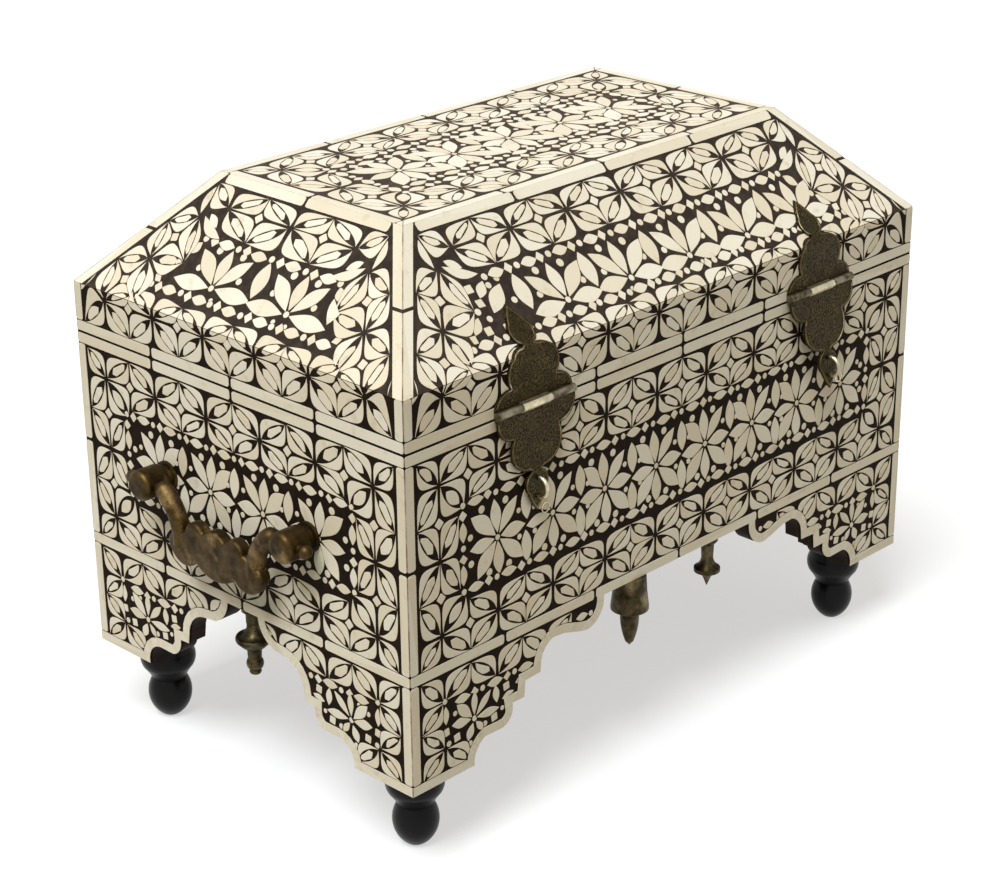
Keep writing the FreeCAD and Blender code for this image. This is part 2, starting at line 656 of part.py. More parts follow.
hasp_pins = []
eyelets = []
for side, sx, tilt in (("left", -1, dim.left_hasp_tilt), ("right", 1, dim.right_hasp_tilt)):
    centre = sx * (half_width - dim.hasp_inset)
    node(side + "_hasp_upper_leaf", solid(side + "_upper_leaf", upper_leaf(centre)))
    node(side + "_hasp_lower_leaf", solid(side + "_lower_leaf", lower_leaf(centre, tilt)))
    pin = doc.addObject("Part::Cylinder", side + "_hasp_rod")
    pin.setExpression("Radius", bound("hasp_pin_radius"))
    pin.setExpression("Height", bound("hasp_width"))
    pin.Placement.Rotation = FreeCAD.Rotation(Z_AXIS, X_AXIS)
    pin.setExpression(".Placement.Base.x", bound("%d * (body_width / 2 - hasp_inset) - hasp_width / 2" % sx))
    pin.setExpression(".Placement.Base.y", bound("-(body_depth / 2 + strip_proud + rest_clearance + hasp_barrel_radius)"))
    pin.setExpression(".Placement.Base.z", bound("foot_drop + seam_rise + hasp_barrel_radius"))
    hasp_pins.append(pin)
    eyelet = doc.addObject("Part::Torus", side + "_eyelet_ring")
    eyelet.setExpression("Radius1", bound("eyelet_radius"))
    eyelet.setExpression("Radius2", bound("eyelet_wire / 2"))
    eyelet.Placement.Rotation = FreeCAD.Rotation(Z_AXIS, Y_AXIS)
    eyelet_x = "%d * (body_width / 2 - hasp_inset) + %s_eyelet_reach" % (sx, side)
    eyelet.setExpression(".Placement.Base.x", bound(eyelet_x))
    eyelet.setExpression(".Placement.Base.y", bound("-(body_depth / 2 + eyelet_wire / 2)"))
    eyelet.setExpression(".Placement.Base.z", bound("foot_drop + seam_rise - eyelet_drop"))
    eyelets.append(eyelet)
node("hasp_pins", *hasp_pins)
node("hasp_eyelets", *eyelets)


def hinge_leaf(centre, upward):
    """A back hinge's leaf: the lid's has the middle knuckle, the case's the outer two."""
    back = Face(FreeCAD.Vector(centre, half_depth + dim.strip_proud, seam_level), -X_AXIS, Z_AXIS,
                dim.hinge_width)
    half = dim.hinge_width / 2
    middle = dim.hinge_middle_knuckle / 2
    gap = dim.axial_clearance
    out = dim.hinge_barrel_radius + dim.rest_clearance
    edge = dim.hinge_leaf if upward else -dim.hinge_leaf
    root = dim.lid_gap if upward else -dim.lid_gap
    leaf = plate(back, (-half, root), [(half, root), (half, edge), (-half, edge)], 0.0, dim.hinge_thickness)
    outer = ((-half, -middle - gap), (middle + gap, half))
    own, other = (((-middle, middle),), outer) if upward else (outer, ((-middle, middle),))
    for low_end, high_end in other:
        leaf = leaf.cut(rod(back, low_end - gap, high_end + gap, 0.0, out, dim.hinge_barrel_radius + gap))
    for low_end, high_end in own:
        leaf = leaf.fuse(rod(back, low_end, high_end, 0.0, out, dim.hinge_barrel_radius))
    bore = dim.hinge_pin_radius + (dim.pin_clearance if upward else 0.0)
    return leaf.cut(rod(back, -half, half, 0.0, out, bore)).removeSplitter()


hinge_pins = []
for side, sx in (("left", -1), ("right", 1)):
    centre = sx * (half_width - dim.hinge_inset)
    node(side + "_hinge_lid_leaf", solid(side + "_lid_leaf", hinge_leaf(centre, True)))
    node(side + "_hinge_case_leaf", solid(side + "_case_leaf", hinge_leaf(centre, False)))
    pin = doc.addObject("Part::Cylinder", side + "_hinge_rod")
    pin.setExpression("Radius", bound("hinge_pin_radius"))
    pin.setExpression("Height", bound("hinge_width"))
    pin.Placement.Rotation = FreeCAD.Rotation(Z_AXIS, X_AXIS)
    pin.setExpression(".Placement.Base.x", bound("%d * (body_width / 2 - hinge_inset) - hinge_width / 2" % sx))
    pin.setExpression(".Placement.Base.y", bound("body_depth / 2 + strip_proud + rest_clearance + hinge_barrel_radius"))
    pin.setExpression(".Placement.Base.z", bound("foot_drop + seam_rise"))
    hinge_pins.append(pin)
node("hinge_pins", *hinge_pins)

# Bail handles on the ends: two stout posts, and a bail with horn arms and a lobed grip
GRIP_START_SHARE = (0.42, -0.84)
GRIP_SHARES = [
    (0.72, -0.96, 0.95, -0.78), (1.0, -0.66, 0.92, -0.54), (0.62, -0.42), (0.46, -0.26, 0.23, -0.38)]
GRIP_FOOT_SHARE = (0.0, -1.0)
GRIP_CROWN_SHARE = (0.0, -0.26)
ARM_WAIST_SHARE = 0.70
ARM_BEND_SHARE = 0.73
ARM_BEND_DROP_SHARE = 0.4
ARM_FOOT_DROP_SHARE = 0.7
FACING_SHARE = 0.5
half_post = dim.post_spacing / 2
post_in = half_post - dim.post_radius
post_out = half_post + dim.post_radius


def end_face(sx):
    along = -Y_AXIS if sx < 0 else Y_AXIS
    return Face(FreeCAD.Vector(sx * (half_width + dim.strip_proud), 0.0, dim.foot_drop + dim.pivot_rise),
                along, Z_AXIS, dim.body_depth)


def post(face, u):
    """A stout round post with its wall plate and neck, bored across for the bail's pin."""
    foot_plate = Part.makeCylinder(dim.post_plate_radius, dim.post_plate_thickness, face.at(u, 0.0), face.out)
    neck = Part.makeCylinder(dim.post_neck_radius, dim.pivot_standoff, face.at(u, 0.0), face.out)
    start = dim.post_plate_thickness + dim.post_neck_length
    barrel = Part.makeCylinder(dim.post_radius, dim.post_length - start, face.at(u, 0.0, start), face.out)
    barrel = barrel.makeFillet(dim.post_round, [edge for edge in barrel.Edges if edge.isClosed()])
    bore = rod(face, u - dim.post_radius, u + dim.post_radius, 0.0, dim.pivot_standoff,
               dim.pivot_pin_radius + dim.pin_clearance)
    return barrel.fuse([foot_plate, neck]).cut(bore).removeSplitter()


def bail(face):
    """The swinging handle: pins with round heads at the ends, horn arms and a lobed grip between them."""
    out = dim.pivot_standoff
    grow = (dim.grip_width / 2, dim.grip_drop)

    def placed(step):
        return tuple(share * grow[i % 2] for i, share in enumerate(step))

    start = placed(GRIP_START_SHARE)
    right = [placed(step) for step in GRIP_SHARES]
    left = mirrored(right, start, 0.0)
    crown = placed(GRIP_CROWN_SHARE) + (-right[-1][-2], right[-1][-1])
    foot = placed(GRIP_FOOT_SHARE) + start
    grip = plate(face, start, right + [crown] + left + [foot],
                 out - dim.grip_thickness / 2, out + dim.grip_thickness / 2)
    flats = [side for side in grip.Faces if abs(side.normalAt(0, 0).dot(face.out)) > FACING_SHARE]
    corners = [edge for edge in grip.Edges if not any(edge.isSame(rim) for side in flats for rim in side.Edges)]
    grip = grip.makeFillet(dim.notch_round, corners)
    flats = [side for side in grip.Faces if abs(side.normalAt(0, 0).dot(face.out)) > FACING_SHARE]
    rims = [edge for side in flats for edge in side.Edges]
    grip = grip.makeFillet(dim.grip_round, rims)
    shoulder = post_in - dim.axial_clearance - dim.arm_radius
    head = post_out + dim.axial_clearance + dim.pin_head_radius
    pieces = []
    for sign in (-1, 1):
        top = face.at(sign * shoulder, 0.0, out)
        bend = face.at(sign * shoulder * ARM_BEND_SHARE, -dim.grip_drop * ARM_BEND_DROP_SHARE, out)
        bottom = face.at(sign * shoulder * ARM_WAIST_SHARE, -dim.grip_drop * ARM_FOOT_DROP_SHARE, out)
        path = Part.Wire([Part.Arc(top, bend, bottom).toShape()])
        arc = path.Edges[0]
        ring = Part.Wire([Part.Circle(top, arc.tangentAt(arc.FirstParameter), dim.arm_radius).toShape()])
        pieces.append(path.makePipeShell([ring], True, True))
        pieces.append(Part.makeSphere(dim.arm_radius, top))
        pieces.append(Part.makeSphere(dim.pin_head_radius, face.at(sign * head, 0.0, out)))
        ends = sorted((sign * shoulder, sign * head))
        pieces.append(rod(face, ends[0], ends[1], 0.0, out, dim.pivot_pin_radius))
    return grip.fuse(pieces).removeSplitter()


for side, sx in (("left", -1), ("right", 1)):
    face = end_face(sx)
    node(side + "_handle_posts", *[solid("%s_post_%d" % (side, i + 1), post(face, u))
                                   for i, u in enumerate((-half_post, half_post))])
    node(side + "_handle_bail", solid(side + "_bail", bail(face)))

doc.recompute()

# Move the origin under the middle of the whole object's box
whole = FreeCAD.BoundBox()
for part in nodes:
    whole.add(part.Shape.BoundBox)
sheet.set(OFFSET_CELL, str(round(-(whole.YMin + whole.YMax) / 2, 3)))
doc.recompute()

for item in doc.Objects:
    if "Invalid" in item.State or "Error" in item.State:
        raise RuntimeError("failed: %s %s" % (item.Name, item.State))
for part in nodes:
    if part.Shape.isNull() or not part.Shape.isValid() or not part.Shape.Solids:
        raise RuntimeError("bad shape: " + part.Label)

os.makedirs("parts", exist_ok=True)
for part in nodes:
    part.Shape.exportStep("parts/%s.step" % part.Label)
whole = FreeCAD.BoundBox()
for part in nodes:
    whole.add(part.Shape.BoundBox)
print("depth offset", sheet.get("depth_offset"))
print("nodes", len(nodes), "solids", sum(len(part.Shape.Solids) for part in nodes))
print("box", [round(v, 2) for v in (whole.XMin, whole.XMax, whole.YMin, whole.YMax, whole.ZMin, whole.ZMax)])
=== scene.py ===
"""Looks of the bone-inlaid dowry chest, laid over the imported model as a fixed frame."""
import math
import random

import bpy
import numpy as np
from mathutils import Matrix, Vector
from mathutils.bvhtree import BVHTree
from mathutils.geometry import delaunay_2d_cdt


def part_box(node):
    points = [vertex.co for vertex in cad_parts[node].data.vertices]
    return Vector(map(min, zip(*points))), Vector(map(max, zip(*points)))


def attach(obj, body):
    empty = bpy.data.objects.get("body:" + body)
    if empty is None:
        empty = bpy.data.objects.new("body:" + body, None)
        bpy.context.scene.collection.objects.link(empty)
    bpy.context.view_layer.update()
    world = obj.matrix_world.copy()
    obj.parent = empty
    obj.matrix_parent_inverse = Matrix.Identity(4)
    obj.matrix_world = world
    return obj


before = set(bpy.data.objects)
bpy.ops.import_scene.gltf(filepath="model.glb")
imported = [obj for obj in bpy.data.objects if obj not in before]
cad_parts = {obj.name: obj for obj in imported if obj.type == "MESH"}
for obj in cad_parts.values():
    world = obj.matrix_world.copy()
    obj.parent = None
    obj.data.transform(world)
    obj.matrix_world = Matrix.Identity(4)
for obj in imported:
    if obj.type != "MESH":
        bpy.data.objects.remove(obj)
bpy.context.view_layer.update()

# Lengths are millimetres unless a name ends in _m
MM = 0.001

# Camera, from the photograph's vanishing lines
CAMERA_EYE = (-1522.7, -1460.7, 1128.4)
# Azimuth, elevation and roll
CAMERA_ANGLES_DEG = (-45.693, 22.945, -0.607)
CAMERA_LENS = 89.05
SENSOR_WIDTH = 36
CAMERA_REACH_M = 100.0

# Bone pieces
PIECE_SINK = 0.1
PIECE_HEIGHT = 0.38
PIECE_HEIGHT_SPREAD = 0.05
PIECE_BEVEL = 0.32
LINE_HALF = 0.5
PLACE_JITTER = 0.35
CUT_GAP = 0.8
LEAST_AREA = 5
LEAST_LEFT_SHARE = 0.45
LINE_GAP = 1.0
SLOPE_GAP = 0.6
TOP_GAP = 0.4
SQUARE = 40
SIDE_POINTS = 11
ROUND_POINTS = 14
RAY_RISE = 4
CREASE_GAP = 0.2

# Borders of cells: two rows between three lines, measured in from the edge
LINE_OUTER = 12
LINE_NODES = 36
LINE_INNER = 57.5
CHAIN_LINE = 62
CHAIN_PERIOD = 38
CHAIN_DOT = 5.6
# A chain's lens and diamond: how far along the period, how far they reach, and half their width
CHAIN_LENS = (14.0, 9.2, 4.3)
CHAIN_DIAMOND = (28.3, 4.8, 4.9)
CELL_PAIR = 66
CELL_TIP_SHARE = 0.07
BORDER_BULGES = (0.96, 0.93)
HOLLOW_BULGES = (0.96, 0.96)
CORNER_BULGES = (0.93, 0.93)
HOLE_BULGE_SHARE = 0.36
LID_HOLE_SHARE = 0.30
HOLE_REACH_SHARE = 0.60
ALMOND_SPAN_SHARES = (0.25, 0.82)
ALMOND_WIDTH_SHARE = 0.30
KITE_PULL_SHARE = 0.8
DIAMOND_REACH = 5.2
LENS_SOFT_SHARE = 0.20
PETAL_SOFT_SHARE = 0.06
PETAL_WIDTH_SHARE = 0.94
PETAL_START = 3.6
CHAIN_SOFT_SHARE = 0.10

SEED = 11


def shade(colour, share):
    """A colour made lighter or darker by a share."""
    return tuple(min(1.0, channel * share) for channel in colour)


def new_object(name, data):
    thing = bpy.data.objects.new(name, data)
    bpy.context.scene.collection.objects.link(thing)
    return thing


def mesh_object(name, points, faces, material):
    mesh = bpy.data.meshes.new(name)
    mesh.from_pydata(points, [], faces)
    mesh.materials.append(material)
    return new_object(name, mesh)


# Plane geometry of the inlay

def add(a, b, share=1.0):
    return (a[0] + b[0] * share, a[1] + b[1] * share)


def between(a, b, share):
    return (a[0] + (b[0] - a[0]) * share, a[1] + (b[1] - a[1]) * share)


def distance(a, b):
    return math.hypot(a[0] - b[0], a[1] - b[1])


def unit(a, b):
    """Unit vector from a to b."""
    length = distance(a, b)
    return ((b[0] - a[0]) / length, (b[1] - a[1]) / length)


def cubic(p0, p1, p2, p3, count):
    """Points of a cubic curve, without its last point."""
    points = []
    for i in range(count):
        t = i / count
        a, b, c, d = (1 - t) ** 3, 3 * t * (1 - t) ** 2, 3 * t * t * (1 - t), t ** 3
        points.append((a * p0[0] + b * p1[0] + c * p2[0] + d * p3[0],
                       a * p0[1] + b * p1[1] + c * p2[1] + d * p3[1]))
    return points


def area(outline):
    total = 0.0
    for i, (x, y) in enumerate(outline):
        nx, ny = outline[(i + 1) % len(outline)]
        total += x * ny - nx * y
    return total / 2


def inset(outline, step):
    """The outline moved in by a step at every corner."""
    turn = 1 if area(outline) > 0 else -1
    count = len(outline)
    moved = []
    for i in range(count):
        before, here, after = outline[i - 1], outline[i], outline[(i + 1) % count]
        if distance(before, here) < 1e-6 or distance(here, after) < 1e-6:
            moved.append(here)
            continue
        a, b = unit(before, here), unit(here, after)
        nx, ny = -(a[1] + b[1]) * turn, (a[0] + b[0]) * turn
        length = max(math.hypot(nx, ny), 0.2)
        reach = min(step * min(2.0 / length, 1.7), room(outline, i) * 0.3)
        moved.append((here[0] + nx / length * reach, here[1] + ny / length * reach))
    return moved


def room(outline, i):
    """The distance from a corner to the nearest corner that isn't its neighbour."""
    count = len(outline)
    return min(distance(outline[i], outline[(i + k) % count]) for k in range(2, count - 1))


def leaf(base, tip, left, right, belly=0.5, soft=LENS_SOFT_SHARE):
    """A pointed leaf from base to tip, with its half widths left and right of the line."""
    along = (tip[0] - base[0], tip[1] - base[1])
    length = math.hypot(*along)
    side = (along[1] / length, -along[0] / length)
    near, far = belly - soft, belly + soft

    def control(share, width):
        return add(add(base, along, share), side, width / 0.75)

    return (cubic(base, control(near, left), control(far, left), tip, SIDE_POINTS)
            + cubic(tip, control(far, -right), control(near, -right), base, SIDE_POINTS))


def lens(a, b, half):
    return leaf(a, b, half, half, soft=CHAIN_SOFT_SHARE)


def dot(centre, width):
    return [(centre[0] + width / 2 * math.cos(2 * math.pi * i / ROUND_POINTS),
             centre[1] + width / 2 * math.sin(2 * math.pi * i / ROUND_POINTS)) for i in range(ROUND_POINTS)]


def dots(centre, places):
    return [dot(add(centre, (x, y)), width) for x, y, width in places]


def diamond(centre, along, reach, across=None):
    """A four-cornered piece whose corners point along and across a direction."""
    across = across or reach
    side = (-along[1], along[0])
    corners = [add(centre, along, reach), add(centre, side, across),
               add(centre, along, -reach), add(centre, side, -across)]
    points = []
    for i, corner in enumerate(corners):
        points.append(between(corner, corners[i - 1], 0.08))
        points.append(between(corner, corners[(i + 1) % 4], 0.08))
    return points


def crescent(start, end, side, bulge, hole=HOLE_BULGE_SHARE):
    """A curved leaf: its outer edge bulges towards a corner of the cell, its inner edge less."""
    hollow = between(between(start, end, 0.5), side, HOLE_REACH_SHARE)
    inner = hole / HOLE_REACH_SHARE
    return (cubic(start, between(start, side, bulge), between(end, side, bulge), end, SIDE_POINTS)
            + cubic(end, between(end, hollow, inner), between(start, hollow, inner), start, SIDE_POINTS))


def cell(dark, c_one, c_two, one, two, bulges, hole=HOLE_BULGE_SHARE):
    """A cell of the border: two curved leaves from the dark node, with an almond between them."""
    middle = between(c_one, c_two, 0.5)
    start = between(dark, middle, CELL_TIP_SHARE)
    pieces = []
    for c, side, bulge in zip((c_one, c_two), (one, two), bulges):
        lean = add(between(start, c, 0.012), unit(middle, side), LINE_HALF)
        end = add(between(c, start, 0.02), unit(middle, side), LINE_HALF * 0.8)
        pieces.append(crescent(lean, end, side, bulge, hole))
    a, b = ALMOND_SPAN_SHARES
    length = distance(start, middle)
    width = length * ALMOND_WIDTH_SHARE / 2 * min(1.0, distance(one, two) / length)
    pieces.append(leaf(between(start, middle, a), between(start, middle, b), width, width))
    return pieces


def border_cell(dark, c, hollow, corner, hole=HOLE_BULGE_SHARE):
    return cell(dark, c, c, hollow, corner, BORDER_BULGES, hole)


def cell_row(middles, outer):
    """Cells between two lines of places. Every second place of the first line is a dark node."""
    pieces = []
    for k in range(len(middles) - 1):
        d, p = (k, k + 1) if k % 2 == 0 else (k + 1, k)
        pieces += border_cell(middles[d], outer[p], middles[p], outer[d])
    return pieces


def foot_point(point, start, end):
    """The point of the line through start and end that is nearest to a point."""
    way = unit(start, end)
    reach = (point[0] - start[0]) * way[0] + (point[1] - start[1]) * way[1]
    return add(start, way, reach)


def cell_frame(outer, nodes, inner, counts, outer_lines=None, rows=None, swells=(1.0, 1.0, 1.0, 1.0),
               hole=HOLE_BULGE_SHARE):
    """A closed border of two rows of cells.

    The first three lists hold its corners, and counts its pitches a side. rows gives where each side's
    dark nodes start and end, where that isn't at the corners, and swells how far its inner cells bulge.
    """
    outer_lines = outer_lines or [(outer[i], outer[(i + 1) % 4]) for i in range(4)]
    rows = rows or [(nodes[i], nodes[(i + 1) % 4]) for i in range(4)]
    pieces = []
    sides = []
    for i in range(4):
        j = (i + 1) % 4
        steps = counts[i] * 2
        mid = [between(*rows[i], k / steps) for k in range(steps + 1)]
        out = [foot_point(m, *outer_lines[i]) for m in mid]
        into = [foot_point(m, inner[i], inner[j]) for m in mid]
        sides.append((mid, out, into))
        for k in range(steps):
            d, p = (k, k + 1) if k % 2 == 0 else (k + 1, k)
            pieces += border_cell(mid[d], out[p], mid[p], out[d], hole)
            if 0 < k < steps - 1:
                pieces += border_cell(mid[d], into[p], mid[p], between(mid[d], into[d], swells[i]), hole)
            if k % 2 == 0:
                pieces.append(diamond(mid[p], unit(mid[k], mid[k + 1]), DIAMOND_REACH))
    for i in range(4):
        mid, out, into = sides[i]
        last_mid, last_out, last_into = sides[i - 1]
        if distance(mid[0], last_mid[-1]) > 1.0:
            pieces += split_corner(outer[i], sides[i], sides[i - 1], 1.0 if i == 0 else -1.0)
            continue
        pieces += cell(mid[0], outer[i], outer[i], out[0], last_out[-1], CORNER_BULGES, hole)
        middle = between(into[1], last_into[-2], 0.5)
        ends = [between(end, middle, KITE_PULL_SHARE) for end in (into[1], last_into[-2])]
        pieces += cell(mid[0], *ends, mid[1], last_mid[-2], HOLLOW_BULGES, hole)
    return pieces


# A split corner: places from its first dark node, apart from its outer leaf, which starts from the corner and
# ends from the second dark node, and its inner leaf, which starts from the second
SPLIT_SIDES = ((-3, -21), (-24, 9))
SPLIT_TOP_CORNER = (2, 22)
SPLIT_HIP_CORNER = (-9, 31)
SPLIT_OUTER_START = (-1, 4)
SPLIT_OUTER_END = (-2.0, -2.0)
SPLIT_MIDDLE_LEAF = ((-15, 9), (-1, 19.5), 4.0)
SPLIT_INNER_START = (5.0, -1.5)
SPLIT_INNER_END = (10, 28.0)


def split_corner(corner, after, before, hand):
    """A corner of the lid where the top row and the hip's column end at two dark nodes. hand mirrors it."""
    top, hip, near, far = (after, before, (0, 1), (-1, -2)) if hand > 0 else (before, after, (-1, -2), (0, 1))
    first, top_light, top_inner = top[0][near[0]], top[0][near[1]], top[2][near[1]]
    second, hip_light, hip_inner = hip[0][far[0]], hip[0][far[1]], hip[2][far[1]]

    def place(way, origin=first):
        return (origin[0] + hand * way[0], origin[1] + way[1])

    def curved(start, end, inner, outer):
        """A leaf that is fuller on the side towards the outer corner."""
        return leaf(start, end, *((inner, outer) if hand > 0 else (outer, inner)), soft=0.14)

    one, two = SPLIT_SIDES
    pieces = cell(first, corner, corner, place(one), place(two), CORNER_BULGES, LID_HOLE_SHARE)
    pieces += border_cell(first, top_inner, top_light, place(SPLIT_TOP_CORNER), LID_HOLE_SHARE)
    pieces += border_cell(second, hip_inner, hip_light, place(SPLIT_HIP_CORNER), LID_HOLE_SHARE)
    pieces.append(curved(place(SPLIT_OUTER_START, corner), place(SPLIT_OUTER_END, second), 1.5, 6.0))
    one, two, half = SPLIT_MIDDLE_LEAF
    pieces.append(leaf(place(one), place(two), half, half))
    pieces.append(curved(place(SPLIT_INNER_START, second), place(SPLIT_INNER_END), 1.5, 8.0))
    return pieces


def chain(start, end, periods, flip=False, ends=(True, True), grow=1.0):
    """A row of round, long and four-cornered pieces from one place to another."""
    pieces = []
    way = unit(start, end)
    period = distance(start, end) / periods
    scale = period / CHAIN_PERIOD
    if flip:
        start, way = end, (-way[0], -way[1])
    for k in range(periods):
        base = k * period
        if k or ends[0]:
            pieces.append(dot(add(start, way, base), CHAIN_DOT * grow))
        at, reach, half = CHAIN_LENS
        centre, reach = base + at * scale, reach * scale
        pieces.append(lens(add(start, way, centre - reach), add(start, way, centre + reach), half * grow))
        at, reach, half = CHAIN_DIAMOND
        pieces.append(diamond(add(start, way, base + at * scale), way, reach * scale, half * grow))
    if ends[1]:
        pieces.append(dot(add(start, way, periods * period), CHAIN_DOT * grow))
    return pieces


def chain_frame(corners, across, down, grow=1.0):
    """Chains along the four sides of a rectangle, across and down periods long."""
    left_top, right_top, right_foot, left_foot = corners
    upright = {"flip": True, "ends": (False, False), "grow": grow}
    return (chain(left_top, right_top, across, grow=grow) + chain(left_foot, right_foot, across, grow=grow)
            + chain(left_top, left_foot, down, **upright) + chain(right_top, right_foot, down, **upright))


def petal(centre, tip, left, right, belly=0.56):
    """A flower's leaf, which starts a little way from the centre."""
    target = add(centre, tip)
    return leaf(add(centre, unit(centre, target), PETAL_START), target, left * PETAL_WIDTH_SHARE,
                right * PETAL_WIDTH_SHARE, belly, PETAL_SOFT_SHARE)


# A flower's middle dot, and its leaves: where the tip is, its half widths, and where along it the leaf is
# widest
FLOWER_HEART = 5.2
FLOWER_LEAVES = (((-4.0, -34.5), 6.4, 6.4, 0.54), ((23.0, -29.5), 7.4, 5.6, 0.56),
                 ((32.5, -1.5), 7.4, 6.6, 0.52), ((30.5, 27.5), 7.2, 7.4, 0.58),
                 ((1.5, 34.0), 6.6, 6.6, 0.58), ((-24.0, 30.5), 6.8, 9.2, 0.58),
                 ((-32.0, 2.0), 7.2, 6.2, 0.52), ((-31.0, -27.0), 6.4, 9.6, 0.58))
# Dots round a flower, and those round the middle between two: where they are, and how wide
FLOWER_DOTS = ((-18.0, -30.0, 7.0), (9.5, -30.0, 6.8), (-10.0, 28.0, 6.8), (13.0, 27.5, 6.8),
               (24.5, -14.5, 5.0), (26.0, 8.5, 5.2))
MIDDLE_DOTS = ((9.5, 9.0, 5.2), (8.5, -13.0, 4.8))
# The upright almonds between two flowers, from a little right of the middle: their upper and lower ends
CASE_ALMONDS = ((-32, -3.5), (4.5, 34))
TOP_ALMONDS = ((-34, -3.5), (4.5, 34))
ALMOND_SHIFT = 1.5
ALMOND_HALF = 6.0


def flower(centre, grow):
    """Eight leaves round a dot."""
    leaves = [petal(centre, (tip[0] * grow, tip[1] * grow), left * grow, right * grow, belly)
              for tip, left, right, belly in FLOWER_LEAVES]
    return [dot(centre, FLOWER_HEART)] + leaves


def flower_row(first, last, y, count, almonds, grow=1.0):
    """Flowers in a row, with upright almonds between them."""
    pieces = []
    pitch = (last - first) / max(1, count - 1)
    for i in range(count):
        x = first + i * pitch
        pieces += flower((x, y), grow) + dots((x, y), FLOWER_DOTS)
        if i < count - 1:
            middle = x + pitch / 2 + ALMOND_SHIFT
            pieces += [leaf((middle - 1, y + top), (middle + 1, y + bottom), ALMOND_HALF, ALMOND_HALF)
                       for top, bottom in almonds]
            pieces += dots((middle, y), MIDDLE_DOTS)
    return pieces


def rectangle(width, depth, step):
    """The corners of a rectangle that lies a step inside a field."""
    return [(step, step), (width - step, step), (width - step, depth - step), (step, depth - step)]


def field_frame(width, depth, counts, hole=HOLE_BULGE_SHARE):
    """The border of cells round a whole field, with the pitches of its sides."""
    return cell_frame(*[rectangle(width, depth, step) for step in (LINE_OUTER, LINE_NODES, LINE_INNER)],
                      counts, hole=hole)


def flipped(pieces, width):
    """The outlines mirrored left to right."""
    return [[(width - x, y) for x, y in reversed(outline)] for outline in pieces]


# The case: how far its lower chain is raised and its flowers lowered, and the dots at the row's ends
CASE_CHAIN_RISE = 4.5
CASE_FLOWER_FALL = 0.5
CASE_DOT_INSET = 8.5
CASE_DOTS = ((0.0, -9.0, 6.0), (0.0, 15.0, 6.4))


def case_field(width, stripe, mirrored):
    """The inlay of a case face above its stripe: cells all round, chains inside, flowers in the middle."""
    pairs = round((width - 2 * LINE_NODES) / CELL_PAIR)
    pitch = (width - 2 * LINE_NODES) / pairs
    pieces = field_frame(width, stripe, (pairs, 2, pairs, 2))
    low_chain = stripe - CHAIN_LINE - CASE_CHAIN_RISE
    corners = [(CHAIN_LINE, CHAIN_LINE), (width - CHAIN_LINE, CHAIN_LINE),
               (width - CHAIN_LINE, low_chain), (CHAIN_LINE, low_chain)]
    pieces += chain_frame(corners, round(distance(corners[0], corners[1]) / CHAIN_PERIOD), 2)
    first = LINE_NODES + pitch
    pieces += flower_row(first, width - first, stripe / 2 + CASE_FLOWER_FALL, pairs - 1, CASE_ALMONDS)
    for side in (CHAIN_LINE + CASE_DOT_INSET, width - CHAIN_LINE - CASE_DOT_INSET):
        pieces += dots((side, stripe / 2), CASE_DOTS)
    return flipped(pieces, width) if mirrored else pieces


# A skirt's two lines of cells: how far they fall below the stripe, how far in they are, and their steps
SKIRT_FALL = 25.0
SKIRT_INSET = LINE_NODES + 2
SKIRT_STEP = 30.5
SKIRT_COLUMN_STEP = 21.6
SKIRT_LAST_CELL = 28
# A skirt's small flower and the pieces round it, from the inner dark node of its cells
SKIRT_FLOWER = (33.5, 29.0)
SKIRT_HEART = 5.4
SKIRT_LEAVES = (((1.0, -26.0), 3.8), ((20.0, -20.0), 4.0), ((30.0, 1.0), 4.4), ((-20.0, -21.0), 5.4),
                ((-26.0, -3.0), 5.0), ((-8.0, 18.0), 4.6), ((11.0, 14.0), 3.4))
SKIRT_LENSES = (((1.0, 5.0), (1.0, 22.0), 3.6), ((59.0, 8.0), (60.5, 25.0), 3.8),
                ((82.0, 15.0), (97.0, 10.0), 3.6), ((66.0, 24.0), (80.0, 21.0), 3.2))
SKIRT_DIAMONDS = ((1.4, 28.6), (13.5, 38.5), (57.0, 37.0), (71.5, 14.0))
SKIRT_DOTS = ((0.5, 0.0, 5.4), (3.5, 40.0, 5.4), (28.0, 50.0, 5.4), (12.0, 15.0, 4.8), (46.0, 39.0, 5.2),
              (81.0, 25.0, 4.6), (52.0, 13.5, 4.6), (24.0, 11.0, 4.2), (66.0, 32.0, 4.4))
SKIRT_CHAIN = (6, 4.5)
# The lenses and dots in a line under the stripe, near the arch's top
APEX_FALL = 9.0
APEX_LENSES = (203.0, 235.0)
APEX_LENS_HALVES = (7.5, 3.6)
APEX_DOTS = (190.5, 214.5, 223.0)
APEX_DOT = 5.2


